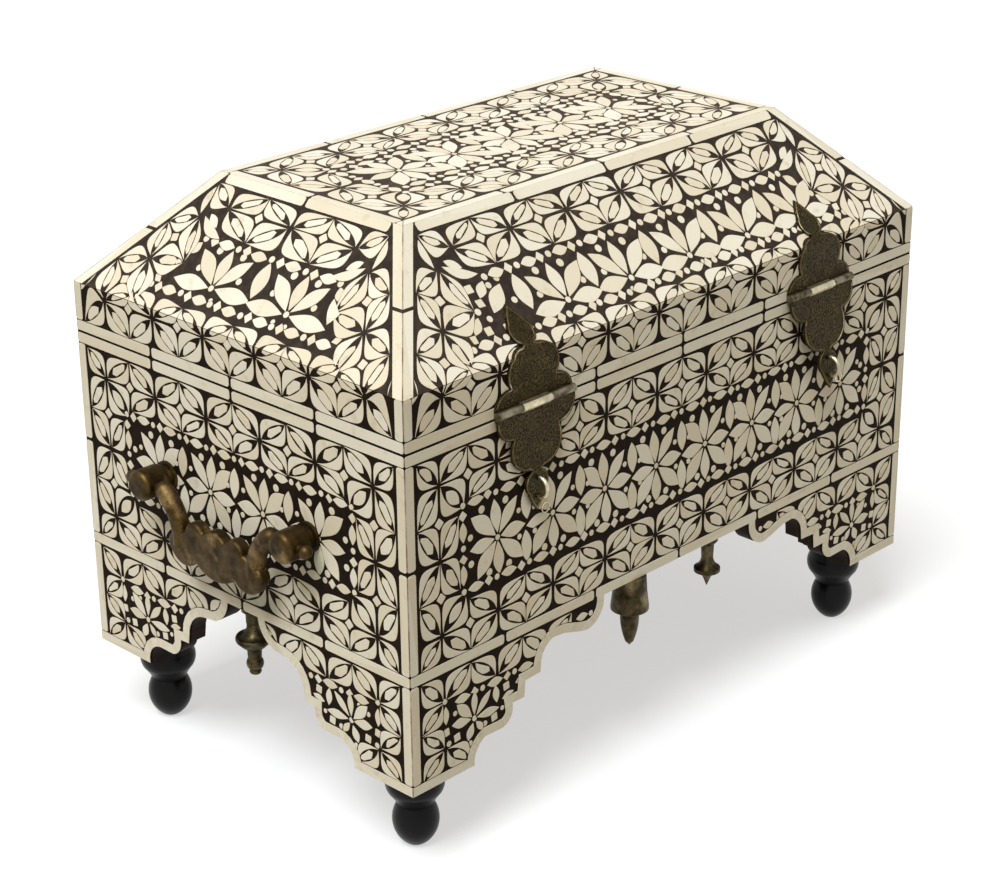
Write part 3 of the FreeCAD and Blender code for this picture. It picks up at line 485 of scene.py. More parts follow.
def skirt_field(width, top, mirrored):
    """The inlay of one leg of the skirt, from the case's corner inwards."""
    low = top + SKIRT_FALL
    inner = SKIRT_INSET
    node = (inner, low)
    stations = [inner + SKIRT_STEP * k for k in range(6)]
    column = [low + SKIRT_COLUMN_STEP * k for k in range(5)]
    pieces = cell_row([(x, low) for x in stations], [(x, top) for x in stations])
    pieces += cell_row([(inner, y) for y in column], [(LINE_OUTER, y) for y in column])
    pieces += cell(node, (LINE_OUTER, top), (LINE_OUTER, top), (inner, top), (LINE_OUTER, low), CORNER_BULGES)
    last = inner + SKIRT_LAST_CELL
    pieces += border_cell((inner, column[2]), (last, column[3]), (inner, column[3]), (last, column[2]))
    centre = add(node, SKIRT_FLOWER)
    pieces += [petal(centre, tip, half, half) for tip, half in SKIRT_LEAVES]
    pieces.append(dot(centre, SKIRT_HEART))
    pieces += [lens(add(node, a), add(node, b), half) for a, b, half in SKIRT_LENSES]
    pieces += [diamond(add(node, place), (0.8, 0.6), 4.9) for place in SKIRT_DIAMONDS]
    pieces += dots(node, SKIRT_DOTS)
    start = add(node, SKIRT_CHAIN)
    pieces += chain(start, add(start, (3 * CHAIN_PERIOD, 0)), 3, ends=(False, True))
    line = top + APEX_FALL
    half, thick = APEX_LENS_HALVES
    pieces += [lens((x - half, line), (x + half, line), thick) for x in APEX_LENSES]
    pieces += [dot((x, line), APEX_DOT) for x in APEX_DOTS]
    return flipped(pieces, width) if mirrored else pieces


# The half flowers of the lid, and what fills the front's left corner, from the first flower's centre
LID_LEAVES = (((-1.0, -37.0), 7.0, 7.4, 0.54), ((32.0, -30.5), 9.2, 7.4, 0.56),
              ((-29.5, -32.5), 6.8, 7.8, 0.58))
LID_SIDE_LEAF = (8.2, 7.8, 0.55)
LID_HEART = 6.0
LID_DOTS = ((-15.0, -33.5, 7.2), (14.0, -33.0, 7.6), (-24.5, -13.0, 6.4), (26.0, -13.5, 6.4),
            (-6.0, 9.5, 4.6), (9.0, 9.0, 4.6))
LID_ALMOND = (-37.5, -3, 8.0)
LID_FILL_LENS = ((-58.0, -33.0), (-80.0, -11.0), 7.6)
LID_FILL_DOTS = ((-52.0, -16.0, 6.2), (-69.0, -35.5, 6.0), (-57.0, -38.0, 6.0), (-87.0, -8.0, 6.0),
                 (-90.0, 9.0, 6.0), (-66.0, -4.0, 6.0))
LID_FILL_DIAMONDS = ((-89.0, -37.0), (-94.0, 0.5), (-74.0, 3.0))
# A long and a short slope: the chains' upper and lower corner, how far down the flowers are, the pairs of
# cells at the top and foot, and the flowers' number and pitch
LID_LONG = ((140.0, 61.5), (90.0, 116.0), 105.0, 6, 9, 5, 77.0)
LID_SHORT = ((122.0, 61.0), (90.0, 113.5), 100.5, 2, 5, 2, 93.0)
LID_LONG_LEAST = 500
LID_FIRST_FLOWER = 208.5
LID_FIRST_NODE = (126.0, 30.0)
LID_SECOND_NODE_FALL = 44.0
LID_FOOT_NODE_FALL = 8.0
LID_INNER_LINE = LINE_INNER + 7
LID_INNER_FALLS = (54.5, -10.0)
LID_GROW = 1.14
TOP_GROW = 1.1
LID_SWELLS = (1.12, 1.0, 1.32, 1.0)


def lid_field(width, slope, fall, band, mirrored):
    """The inlay of a slope of the lid and of its band, unrolled. fall is the hip's inset at the top."""
    lean = fall / slope
    stretch = math.hypot(1.0, lean)
    long_side = width > LID_LONG_LEAST
    high, low, centre, top_pairs, foot_pairs, count, pitch = LID_LONG if long_side else LID_SHORT

    def hip(step, y):
        """The place at height y on the line that runs a step inside the left hip."""
        return (fall - lean * y + step * stretch, y)

    def mirror(point):
        return (width - point[0], point[1])

    def both(top, foot):
        return [top, mirror(top), mirror(foot), foot]

    outer = both(hip(LINE_OUTER, LINE_OUTER - 1), (LINE_OUTER, slope + band - LINE_OUTER + 1.5))
    nodes = both(LID_FIRST_NODE, (LINE_NODES * stretch - 2, slope + LID_FOOT_NODE_FALL))
    second = hip(LINE_NODES - 5, LID_SECOND_NODE_FALL)
    inner_top, inner_foot = LID_INNER_FALLS
    inner = both(hip(LID_INNER_LINE, inner_top), hip(LID_INNER_LINE, slope + inner_foot))
    rows = [nodes[:2], (mirror(second), nodes[2]), nodes[2:], (nodes[3], second)]
    hips = [hip(LINE_OUTER, slope), hip(LINE_OUTER, LINE_OUTER)]
    lines = [outer[:2], [mirror(hips[1]), mirror(hips[0])], outer[2:], hips]
    pieces = cell_frame(outer, nodes, inner, (top_pairs, 2, foot_pairs, 2), lines, rows, LID_SWELLS,
                        LID_HOLE_SHARE)
    for corner in (high, low):
        periods = round((width - 2 * corner[0]) / CHAIN_PERIOD)
        pieces += chain(corner, mirror(corner), periods, grow=LID_GROW)
    for ends in ((high, low), (mirror(high), mirror(low))):
        pieces += chain(*ends, 2, ends=(False, False), grow=LID_GROW)
    first = LID_FIRST_FLOWER if long_side else (width - pitch) / 2
    for i in range(count):
        heart = (first + i * pitch, centre)
        pieces.append(dot(heart, LID_HEART))
        pieces += [petal(heart, *shape) for shape in LID_LEAVES]
        pieces += [petal(heart, (side * (pitch / 2 + 1.5), 1.0), *LID_SIDE_LEAF) for side in (-1, 1)]
        pieces += dots(heart, LID_DOTS)
    top, bottom, half = LID_ALMOND
    for i in range(count + 1):
        x = first + (i - 0.5) * pitch
        pieces.append(leaf((x, centre + top), (x, centre + bottom), half, half, soft=0.12))
    if long_side:
        start = (first, centre)
        a, b, half = LID_FILL_LENS
        pieces.append(lens(add(start, a), add(start, b), half))
        pieces += [diamond(add(start, place), (0.7, 0.7), 5.4) for place in LID_FILL_DIAMONDS]
        pieces += dots(start, LID_FILL_DOTS)
    foot_lens = [hip(LINE_OUTER - 4, slope - 16), (LINE_OUTER - 2, slope + 6)]
    pieces += [leaf(*foot_lens, 3.6, 3.6), leaf(*[mirror(point) for point in foot_lens], 3.6, 3.6)]
    return flipped(pieces, width) if mirrored else pieces


def top_field(width, depth):
    """The inlay of the lid's flat top."""
    pairs = round((width - 2 * LINE_NODES) / CELL_PAIR)
    pieces = field_frame(width, depth, (pairs, 2, pairs, 2), LID_HOLE_SHARE)
    corners = rectangle(width, depth, CHAIN_LINE + 1)
    across = round(distance(corners[0], corners[1]) / CHAIN_PERIOD)
    pieces += chain_frame(corners, across, 3, LID_GROW)
    inside = rectangle(width, depth, CHAIN_LINE + 12)
    pieces += chain(inside[0], inside[1], across - 1, flip=True, grow=LID_GROW)
    pieces += chain(inside[3], inside[2], across - 1, grow=LID_GROW)
    first = LINE_NODES + (width - 2 * LINE_NODES) / pairs
    pieces += flower_row(first, width - first, depth / 2, pairs - 1, TOP_ALMONDS, TOP_GROW)
    return pieces


# From the plane to the chest

class Panel:
    """A flat field: outlines are in mm from its top left corner, seen from outside, y down."""

    def __init__(self, corner, right, down):
        self.corner = Vector(corner)
        self.right = Vector(right).normalized()
        self.down = Vector(down).normalized()
        self.out = self.down.cross(self.right)

    def at(self, point, level):
        return (self.corner + self.right * (point[0] * MM) + self.down * (point[1] * MM)
                + self.out * (level * MM))


class Surface:
    """The bare ground of a face, found by looking straight at the model's ground and strips."""

    def __init__(self, ground, strips):
        points, polygons = [], []
        for name in (ground, strips):
            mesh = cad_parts[name].data
            base = len(points)
            points += [vertex.co.copy() for vertex in mesh.vertices]
            polygons += [[base + i for i in polygon.vertices] for polygon in mesh.polygons]
            if name == ground:
                self.ground_count = len(polygons)
        self.tree = BVHTree.FromPolygons(points, polygons)

    def bare(self, panel, point):
        start = panel.at(point, RAY_RISE)
        hit = self.tree.ray_cast(start, -panel.out, 2 * RAY_RISE * MM)
        return hit[2] is not None and hit[2] < self.ground_count

    def open_at(self, panel):
        """A test of whether a point lies on bare ground, a cut's gap away from any strip."""
        def test(point):
            return all(self.bare(panel, (point[0] + dx, point[1] + dy))
                       for dx, dy in ((CUT_GAP, 0), (-CUT_GAP, 0), (0, CUT_GAP), (0, -CUT_GAP)))
        return test


def crossing(inside, outside, open_at):
    """Where the way from an open point to a closed one meets the limit."""
    for _ in range(9):
        middle = between(inside, outside, 0.5)
        if open_at(middle):
            inside = middle
        else:
            outside = middle
    return inside


def trimmed(outline, open_at):
    """The part of an outline that lies where the test is true."""
    state = [open_at(point) for point in outline]
    if all(state):
        return outline
    kept = []
    for i, point in enumerate(outline):
        j = (i + 1) % len(outline)
        if state[i]:
            kept.append(point)
        if state[i] and not state[j]:
            kept.append(crossing(point, outline[j], open_at))
        if state[j] and not state[i]:
            kept.append(crossing(outline[j], point, open_at))
    return kept


class Neighbours:
    """The outlines laid so far, kept by place, so that a later piece leaves a dark line round them."""

    def __init__(self, gap):
        self.squares = {}
        self.gap = gap

    def reach(self, outline):
        xs, ys = [p[0] for p in outline], [p[1] for p in outline]
        for i in range(int(min(xs) // SQUARE), int(max(xs) // SQUARE) + 1):
            for j in range(int(min(ys) // SQUARE), int(max(ys) // SQUARE) + 1):
                yield i, j

    def keep(self, outline):
        ring = np.array(outline)
        entry = (ring, np.roll(ring, -1, axis=0))
        for square in self.reach(outline):
            self.squares.setdefault(square, []).append(entry)

    def near(self, outline):
        found = {}
        for square in self.reach(outline):
            for entry in self.squares.get(square, ()):
                found[id(entry)] = entry
        low, high = np.min(outline, axis=0) - self.gap, np.max(outline, axis=0) + self.gap
        return [(a, b) for a, b in found.values()
                if (a.max(axis=0) > low).all() and (a.min(axis=0) < high).all()]

    def clear_of(self, entries):
        """A test of whether a point keeps a line's width away from the given outlines."""
        def test(point):
            x, y = point
            for a, b in entries:
                way = b - a
                offset = np.array(point) - a
                share = (offset * way).sum(axis=1) / np.maximum((way * way).sum(axis=1), 1e-9)
                share = np.clip(share, 0.0, 1.0)
                gap = offset - way * share[:, None]
                if ((gap * gap).sum(axis=1) < self.gap * self.gap).any():
                    return False
                spans = (a[:, 1] > y) != (b[:, 1] > y)
                crossed = spans & (x < a[:, 0] + (y - a[:, 1]) / np.where(spans, way[:, 1], 1.0) * way[:, 0])
                if crossed.sum() % 2:
                    return False
            return True
        return test


class Inlay:
    """The raised bone pieces of one face, gathered in one mesh."""

    def __init__(self, name, gap=LINE_GAP):
        self.name = name
        self.laid = Neighbours(gap)
        self.chance = random.Random(name + str(SEED))
        self.points, self.faces, self.edge, self.tone = [], [], [], []

    def add(self, outline, panel, tone):
        if len(outline) < 4 or abs(area(outline)) < LEAST_AREA:
            return
        if area(outline) < 0:
            outline = list(reversed(outline))
        height = PIECE_HEIGHT + self.chance.uniform(-1, 1) * PIECE_HEIGHT_SPREAD
        rings = ((outline, -PIECE_SINK, 0.0), (outline, height - PIECE_BEVEL / 2, 0.0),
                 (inset(outline, PIECE_BEVEL), height, 1.0))
        base, count = len(self.points), len(outline)
        for ring, level, edge in rings:
            self.points += [panel.at(point, level) for point in ring]
            self.edge += [edge] * count
            self.tone += [tone] * count
        for ring in range(2):
            for i in range(count):
                j = (i + 1) % count
                a, b = base + ring * count + i, base + ring * count + j
                self.faces.append((b, a, a + count, b + count))
        self.add_top(rings[2][0], panel, height, tone)

    def add_top(self, ring, panel, height, tone):
        """The flat top, cut into triangles that stay inside the outline."""
        corners = [Vector(point) for point in ring]
        points, _, faces, _, _, _ = delaunay_2d_cdt(corners, [], [list(range(len(ring)))], 1, 1e-4)
        base = len(self.points)
        self.points += [panel.at(point, height) for point in points]
        self.edge += [1.0] * len(points)
        self.tone += [tone] * len(points)
        self.faces += [tuple(base + i for i in reversed(face)) for face in faces]

    def lay(self, outlines, regions):
        """Lays outlines on the regions, each a panel with its test."""
        for outline in outlines:
            shift = (self.chance.gauss(0, PLACE_JITTER), self.chance.gauss(0, PLACE_JITTER))
            outline = [add(point, shift) for point in outline]
            tone = self.chance.random()
            whole = abs(area(outline))
            entries = self.laid.near(outline)
            if entries:
                outline = trimmed(outline, self.laid.clear_of(entries))
            if len(outline) < 4 or abs(area(outline)) < whole * LEAST_LEFT_SHARE:
                continue
            self.laid.keep(outline)
            for panel, open_at in regions:
                self.add(trimmed(outline, open_at), panel, tone)

    def build(self, body, material):
        piece = mesh_object(self.name, self.points, self.faces, material)
        for label, values in (("edge", self.edge), ("tone", self.tone)):
            piece.data.attributes.new(label, "FLOAT", "POINT").data.foreach_set("value", values)
        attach(piece, body)


def side_panels():
    """Each side's corner on the case, the way to its right and the way out, and its width."""
    low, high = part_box("front_ground")[0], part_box("back_ground")[1]
    x0, x1, y0, y1 = low[0], high[0], low[1], high[1]
    return {"front": ((x0, y0), (1, 0), (0, -1), (x1 - x0) / MM),
            "right": ((x1, y0), (0, 1), (1, 0), (y1 - y0) / MM),
            "back": ((x1, y1), (-1, 0), (0, 1), (x1 - x0) / MM),
            "left": ((x0, y1), (0, -1), (-1, 0), (y1 - y0) / MM)}


def lay_inlay(bone):
    """Lays the pieces of the case's four sides, and of the lid's four sides and its top."""
    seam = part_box("front_board")[1][2]
    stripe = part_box("front_board")[0][2]
    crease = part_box("lid_rails")[1][2]
    lid_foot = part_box("lid_rails")[0][2]
    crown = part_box("lid_top_ground")[1][2]
    strips_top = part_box("lid_top_strips")
    fall = strips_top[0][0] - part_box("lid_front_ground")[0][0]
    stripe_fall = (seam - stripe) / MM + 2.5
    for side, (corner, right, out, width) in side_panels().items():
        right_way, down = (*right, 0), (0, 0, -1)
        panel = Panel((*corner, seam), right_way, down)
        open_at = Surface(side + "_ground", side + "_strips").open_at(panel)
        inlay = Inlay(side + "_inlay")
        inlay.lay(case_field(width, stripe_fall, side in ("left", "right")), [(panel, open_at)])
        for mirrored in (False, True):
            inlay.lay(skirt_field(width, stripe_fall - 0.5, mirrored), [(panel, open_at)])
        inlay.build("base", bone)
        rise = crown - crease
        slope = math.hypot(fall, rise)
        down_slope = Vector((out[0] * fall, out[1] * fall, -rise)).normalized()
        top_corner = Vector((*corner, crease)) - down_slope * slope
        slope_mm, band_mm = slope / MM, (crease - lid_foot) / MM
        upper = Panel(top_corner, right_way, down_slope)
        lower = Panel(Vector((*corner, crease)) + Vector((0, 0, slope)), right_way, down)
        surface = Surface("lid_%s_ground" % side, "lid_%s_strips" % side)
        on_slope, on_band = surface.open_at(upper), surface.open_at(lower)
        regions = [(upper, lambda p, test=on_slope, limit=slope_mm - CREASE_GAP: p[1] < limit and test(p)),
                   (lower, lambda p, test=on_band, limit=slope_mm + CREASE_GAP: p[1] > limit and test(p))]
        lid = Inlay("lid_%s_inlay" % side, SLOPE_GAP)
        lid.lay(lid_field(width, slope_mm, fall / MM, band_mm, side in ("left", "right")), regions)
        lid.build("lid", bone)
    low, high = strips_top
    panel = Panel((low[0], high[1], crown), (1, 0, 0), (0, -1, 0))
    inlay = Inlay("lid_top_inlay", TOP_GAP)
    open_at = Surface("lid_top_ground", "lid_top_strips").open_at(panel)
    inlay.lay(top_field((high[0] - low[0]) / MM, (high[1] - low[1]) / MM), [(panel, open_at)])
    inlay.build("lid", bone)


# Materials

class Nodes:
    """The node tree of a material or a world, under construction."""

    def __init__(self, owner):
        owner.use_nodes = True
        self.tree = owner.node_tree

    def feed(self, socket, value):
        """Links a socket to an output, or gives it a plain value."""
        if hasattr(value, "is_linked"):
            self.tree.links.new(value, socket)
        else:
            socket.default_value = value

    def node(self, kind, feeds=None, **settings):
        """A new node with its settings, and its inputs fed by their names or numbers."""
        node = self.tree.nodes.new(kind)
        for name, value in settings.items():
            setattr(node, name, value)
        for name, value in (feeds or {}).items():
            self.feed(node.inputs[name], value)
        return node

    def maths(self, operation, a, b=0.0):
        return self.node("ShaderNodeMath", {0: a, 1: b}, operation=operation).outputs[0]

    def seen(self):
        """1 for what the camera sees, in a reflection too, and 0 for light on the object."""
        rays = self.node("ShaderNodeLightPath").outputs
        return self.maths("MAXIMUM", rays["Is Camera Ray"], rays["Is Glossy Ray"])


class Paint(Nodes):
    """A material under construction, with its shader's sockets set by name."""

    def __init__(self, name, **sockets):
        self.material = bpy.data.materials.new(name)
        super().__init__(self.material)
        self.shader = self.tree.nodes["Principled BSDF"]
        self.where = self.node("ShaderNodeTexCoord").outputs["Object"]
        self.set(**sockets)

    def set(self, **sockets):
        for name, value in sockets.items():
            self.feed(self.shader.inputs[name.replace("_", " ").title().replace("Ior", "IOR")], value)

    def noise(self, scale, detail=3.0, roughness=0.55, stretch=None):
        where = self.where
        if stretch:
            where = self.node("ShaderNodeMapping", {"Vector": where, "Scale": stretch}).outputs["Vector"]
        return self.node("ShaderNodeTexNoise", {"Vector": where, "Scale": scale, "Detail": detail,
                                                "Roughness": roughness}).outputs["Fac"]

    def attribute(self, name):
        return self.node("ShaderNodeAttribute", attribute_name=name).outputs["Fac"]

    def span(self, value, low, high, start=0.0, end=1.0):
        """A value mapped from one span to another."""
        return self.node("ShaderNodeMapRange", {"Value": value, "From Min": low, "From Max": high,
                                                "To Min": start, "To Max": end}).outputs["Result"]

    def axes(self):
        """The place's X, Y and Z."""
        return list(self.node("ShaderNodeSeparateXYZ", {0: self.where}).outputs)

    def mix(self, share, a, b):
        """The colour a, turned into b by a share."""
        first, second = [value if hasattr(value, "is_linked") else (*value, 1.0) for value in (a, b)]
        return self.node("ShaderNodeMix", {0: share, 6: first, 7: second}, data_type="RGBA").outputs[2]

    def patches(self, under, over, noise, low, high, share=1.0):
        """One colour over another, where a noise is high."""
        return self.mix(self.span(noise, low, high, 0.0, share), under, over)

    def bump(self, height, strength, distance):
        feeds = {"Height": height, "Strength": strength, "Distance": distance * MM}
        self.set(normal=self.node("ShaderNodeBump", feeds).outputs["Normal"])


BONE_PALE = (0.82, 0.77, 0.64)
BONE_WARM = (0.70, 0.61, 0.43)
BONE_STAIN = (0.40, 0.27, 0.13)
# Painted shadow: the green-grey colour, end faces and spots of the shadow that each end handle casts on the
# bone
PAINTED_SHADOW_GREEN = (0.40, 0.44, 0.29)
HANDLE_SHADOW_X = 329
HANDLE_SHADOW_SPOTS = ((-8, 196, 34), (-82, 256, 22), (45, 238, 16))
MITRE_STAIN = (0.16, 0.075, 0.035)
MITRE_X = 330.4
MITRE_Y = 205.4
MITRE_MIDDLE_Y = 11.35
MITRE_HALF = 1.1
GROUND_DARK = (0.0065, 0.0033, 0.0012)
GROUND_WORN = (0.018, 0.009, 0.004)
# The lid's ground colours: lighter than the case's as painted light and sheen on the lit lid, the second also
# with paler worn patches. The top is painted lighter still by the share below.
SLOPE_GROUND_LIT = (0.031, 0.023, 0.018)
SLOPE_GROUND_LIT_WORN = (0.062, 0.045, 0.033)
TOP_GROUND_LIGHT_SHARE = 1.5
WOOD_DARK = (0.075, 0.032, 0.016)
WOOD_LIGHT = (0.18, 0.085, 0.042)
LACQUER = (0.006, 0.005, 0.005)
LACQUER_WORN = (0.045, 0.020, 0.010)
BRASS = (0.090, 0.056, 0.019)
BRASS_DARK = (0.027, 0.017, 0.007)
BRASS_BRIGHT = (0.35, 0.225, 0.095)
PENDANT_BRASS = (0.10, 0.078, 0.042)
PENDANT_BRIGHT = (0.26, 0.20, 0.10)
HASP_METAL = (0.050, 0.035, 0.011)
HASP_DARK = (0.021, 0.015, 0.006)
RIM_METAL = (0.14, 0.108, 0.05)
PALE_BRASS = (0.80, 0.70, 0.46)
DULL_BRASS = (0.30, 0.27, 0.19)
STAINED_WOOD = (0.014, 0.007, 0.005)
CHASED_SIZE = 5.0
CHASED_TURNS = 17.0


def verdigris(paint):
    """How much green-grey painted shadow of the handles lies on the bone: patches on the two ends, under each
    handle's grip and posts.
    """
    x, y, z = paint.axes()
    on_end = paint.span(paint.maths("ABSOLUTE", x), (HANDLE_SHADOW_X - 1) * MM, HANDLE_SHADOW_X * MM)
    flat = paint.node("ShaderNodeCombineXYZ", {"Y": y, "Z": z}).outputs[0]
    amount = 0.0
    for spot_y, spot_z, radius in HANDLE_SHADOW_SPOTS:
        spot = (0.0, spot_y * MM, spot_z * MM)
        reach = paint.node("ShaderNodeVectorMath", {0: flat, 1: spot}, operation="DISTANCE").outputs["Value"]
        near = paint.span(reach, radius * MM * 0.45, radius * MM, 1.0, 0.0)
        amount = paint.maths("MAXIMUM", amount, near)
    patchy = paint.span(paint.noise(60, 4.0, 0.6), 0.3, 0.6, 0.35, 0.8)
    return paint.maths("MULTIPLY", paint.maths("MULTIPLY", amount, on_end), patchy)


def mitre_stain(paint):
    """How brown the strips are: a thin irregular line where two of them meet at the chest's corners."""
    x, y, _ = paint.axes()
    from_end = paint.maths("SUBTRACT", MITRE_X * MM, paint.maths("ABSOLUTE", x))
    from_middle = paint.maths("ABSOLUTE", paint.maths("SUBTRACT", y, MITRE_MIDDLE_Y * MM))
    from_side = paint.maths("SUBTRACT", MITRE_Y * MM, from_middle)
    off = paint.maths("ABSOLUTE", paint.maths("SUBTRACT", from_end, from_side))
    line = paint.span(off, MITRE_HALF * MM * 0.4, MITRE_HALF * MM, 1.0, 0.0)
    return paint.maths("MULTIPLY", line, paint.span(paint.noise(45, 4.0, 0.6), 0.35, 0.6, 0.25, 0.95))


def bone_paint(name, on_pieces):
    """Ivory bone: a tone for each piece, browned edges, fine pores and yellow stains."""
    paint = Paint(name, roughness=0.42)
    if on_pieces:
        tone = paint.attribute("tone")
    else:
        tone = paint.node("ShaderNodeNewGeometry").outputs["Random Per Island"]
    body = paint.mix(paint.span(tone, 0.0, 1.0, 0.0, 0.75), BONE_PALE, BONE_WARM)
    body = paint.patches(body, BONE_WARM, paint.noise(16, 4.0, 0.6), 0.52, 0.78, 0.5)
    body = paint.patches(body, BONE_STAIN, paint.noise(70, 3.0, 0.6), 0.60, 0.80, 0.45)
    body = paint.patches(body, BONE_STAIN, paint.noise(900, 2.0, 0.7), 0.58, 0.75, 0.25)
    if on_pieces:
        # Green-grey painted shadow of the end handles on the pieces
        body = paint.mix(verdigris(paint), body, PAINTED_SHADOW_GREEN)
        body = paint.mix(paint.span(paint.attribute("edge"), 0.0, 1.0, 0.75, 0.0), body, BONE_STAIN)
    else:
        body = paint.mix(mitre_stain(paint), body, MITRE_STAIN)
    paint.set(base_color=body)
    paint.bump(paint.noise(420, 3.0, 0.6), 0.25, 0.25)
    return paint.material


def ground_paint(name, dark, wear_and_light):
    """The dark filling between the pieces, with paler worn patches; on the lid its colours are painted
    lighter, as painted light and sheen where the lid is lit.
    """
    paint = Paint(name, roughness=0.75, specular_ior_level=0.08)
    paint.set(base_color=paint.patches(dark, wear_and_light, paint.noise(120, 4.0), 0.45, 0.75))
    paint.bump(paint.noise(900, 3.0), 0.35, 0.2)
    return paint.material


def wood_paint(name, along):
    """Brown carcass wood with its grain along one axis, 0 for X or 1 for Y."""
    paint = Paint(name, roughness=0.6)

    def streaks(scale, detail, narrow):
        stretch = [1.0 if axis == along else narrow for axis in range(3)]
        return paint.noise(scale, detail, 0.6, stretch)

    grain = streaks(22, 5.0, 14.0)
    fine = streaks(90, 3.0, 22.0)
    body = paint.patches(WOOD_DARK, WOOD_LIGHT, grain, 0.35, 0.68)
    paint.set(base_color=paint.patches(body, WOOD_DARK, fine, 0.55, 0.75, 0.6))
    paint.bump(fine, 0.3, 0.4)
    return paint.material


def lacquer_paint():
    """Black lacquer of the feet, rubbed brown here and there."""
    paint = Paint("ebonised_wood", roughness=0.30, specular_ior_level=0.14)
    paint.set(base_color=paint.patches(LACQUER, LACQUER_WORN, paint.noise(60, 5.0, 0.65), 0.62, 0.76, 0.5))
    paint.bump(paint.noise(140, 3.0), 0.12, 0.6)
    return paint.material


def stained_paint():
    """Wood stained nearly black, under the skirts."""
    paint = Paint("stained_wood", roughness=0.6, specular_ior_level=0.15)
    grain = paint.noise(22, 5.0, 0.6, stretch=(1.0, 14.0, 14.0))
    paint.set(base_color=paint.patches(STAINED_WOOD, shade(STAINED_WOOD, 2.2), grain, 0.35, 0.7))
    return paint.material


def chased_paint(name, dark, body, bright, size):
    """Metal chased all over with small roundels: bright ridges over dark hollows."""
    paint = Paint(name, metallic=1.0)
    warp = paint.node("ShaderNodeTexNoise", {"Vector": paint.where, "Scale": 0.7 / (size * MM)})
    bend = paint.node("ShaderNodeVectorMath", {0: warp.outputs["Color"], 1: (size * MM * 0.6,) * 3,
                                               2: paint.where}, operation="MULTIPLY_ADD")
    rounds = paint.node("ShaderNodeTexVoronoi", {"Vector": bend.outputs[0], "Scale": 1.0 / (size * MM)})
    turns = paint.maths("MULTIPLY", rounds.outputs["Distance"], CHASED_TURNS)
    ridge = paint.span(paint.maths("SINE", turns), -0.9, 1.1)
    raised = paint.patches(body, bright, paint.noise(60, 4.0), 0.40, 0.68)
    paint.set(base_color=paint.mix(ridge, dark, raised), roughness=paint.span(ridge, 0.0, 1.0, 0.62, 0.40))
    paint.bump(ridge, 0.8, 0.45)
    return paint.material


def metal_paint(name, dark, body, bright, roughness, scale):
    """Aged metal: dark patina in patches, with brighter rubbed places."""
    paint = Paint(name, metallic=1.0)
    patina = paint.span(paint.noise(scale, 5.0, 0.65), 0.36, 0.64)
    colour = paint.mix(patina, dark, body)
    colour = paint.patches(colour, bright, paint.noise(scale * 0.6, 3.0, 0.5), 0.56, 0.74, 0.8)
    specks = paint.noise(scale * 8, 3.0, 0.7)
    paint.set(base_color=paint.patches(colour, dark, specks, 0.50, 0.66, 0.75),
              roughness=paint.span(patina, 0.0, 1.0, roughness + 0.18, roughness))
    paint.bump(specks, 0.4, 0.5)
    return paint.material


# Faces of the lid's ground above this height lie on the slopes and get its painted light
SLOPE_LEAST_Z = 430


def dress_nodes(paints):
    """Gives every node of the model its finish."""
    keys = (("_strips", "strips"), ("_ground", "ground"), ("hasp_pins", "dull"), ("hasp_eyelets", "pale"),
            ("hasp", "hasp"), ("hinge", "hinge"), ("handle", "brass"), ("pendant", "pendant"),
            ("foot_", "lacquer"), ("bracket_", "stained"), ("corner_blocks", "stained"),
            ("left_board", "cross_wood"), ("right_board", "cross_wood"), ("lid_left_slope", "cross_wood"),
            ("lid_right_slope", "cross_wood"), ("", "wood"))
    for name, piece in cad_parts.items():
        key = next(key for part, key in keys if part in name)
        piece.data.materials.clear()
        piece.data.materials.append(paints[key])
    # Painted light: the lid's slopes get a lighter ground, and its top a lighter one still, where the lid is
    # lit
    slope_ground_painted_light = ground_paint("slope_ground_painted_light", SLOPE_GROUND_LIT, SLOPE_GROUND_LIT_WORN)
    for side in ("front", "back", "left", "right"):
        repaint("lid_%s_ground" % side, slope_ground_painted_light, lambda middle: middle.z > SLOPE_LEAST_Z)
    top_ground = ground_paint("top_ground", shade(SLOPE_GROUND_LIT, TOP_GROUND_LIGHT_SHARE),
                              shade(SLOPE_GROUND_LIT_WORN, TOP_GROUND_LIGHT_SHARE))
    repaint("lid_top_ground", top_ground, lambda middle: True)


def repaint(name, material, test):
    """Gives a second finish to the faces of a node whose middles pass a test, in millimetres."""
    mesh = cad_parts[name].data
    mesh.materials.append(material)
    slot = len(mesh.materials) - 1
    for polygon in mesh.polygons:
        if test(polygon.center / MM):
            polygon.material_index = slot


# Hasps: the barrel's axis, how far the leaf hangs out, and a rim round each leaf
HASP_AXIS = (-197.95, 382.6)
HASP_INSET = 143
HASP_TILTS_DEG = {"left": 0, "right": 9}
BARREL_REACH = 3.9
KNUCKLE_HALF = 17.2
LOOP_RISE = 3.2
LOOP_FALL = 20
RIM_STEPS = ((0.7, -0.1), (1.1, 0.36), (1.8, 0.36), (2.2, -0.1))
RIM_BARREL_GAP = 5.5
RIM_SPACING = 1.2
RIM_FACING = (0, -0.9, 0.43)
FLAT_LEAST = 250


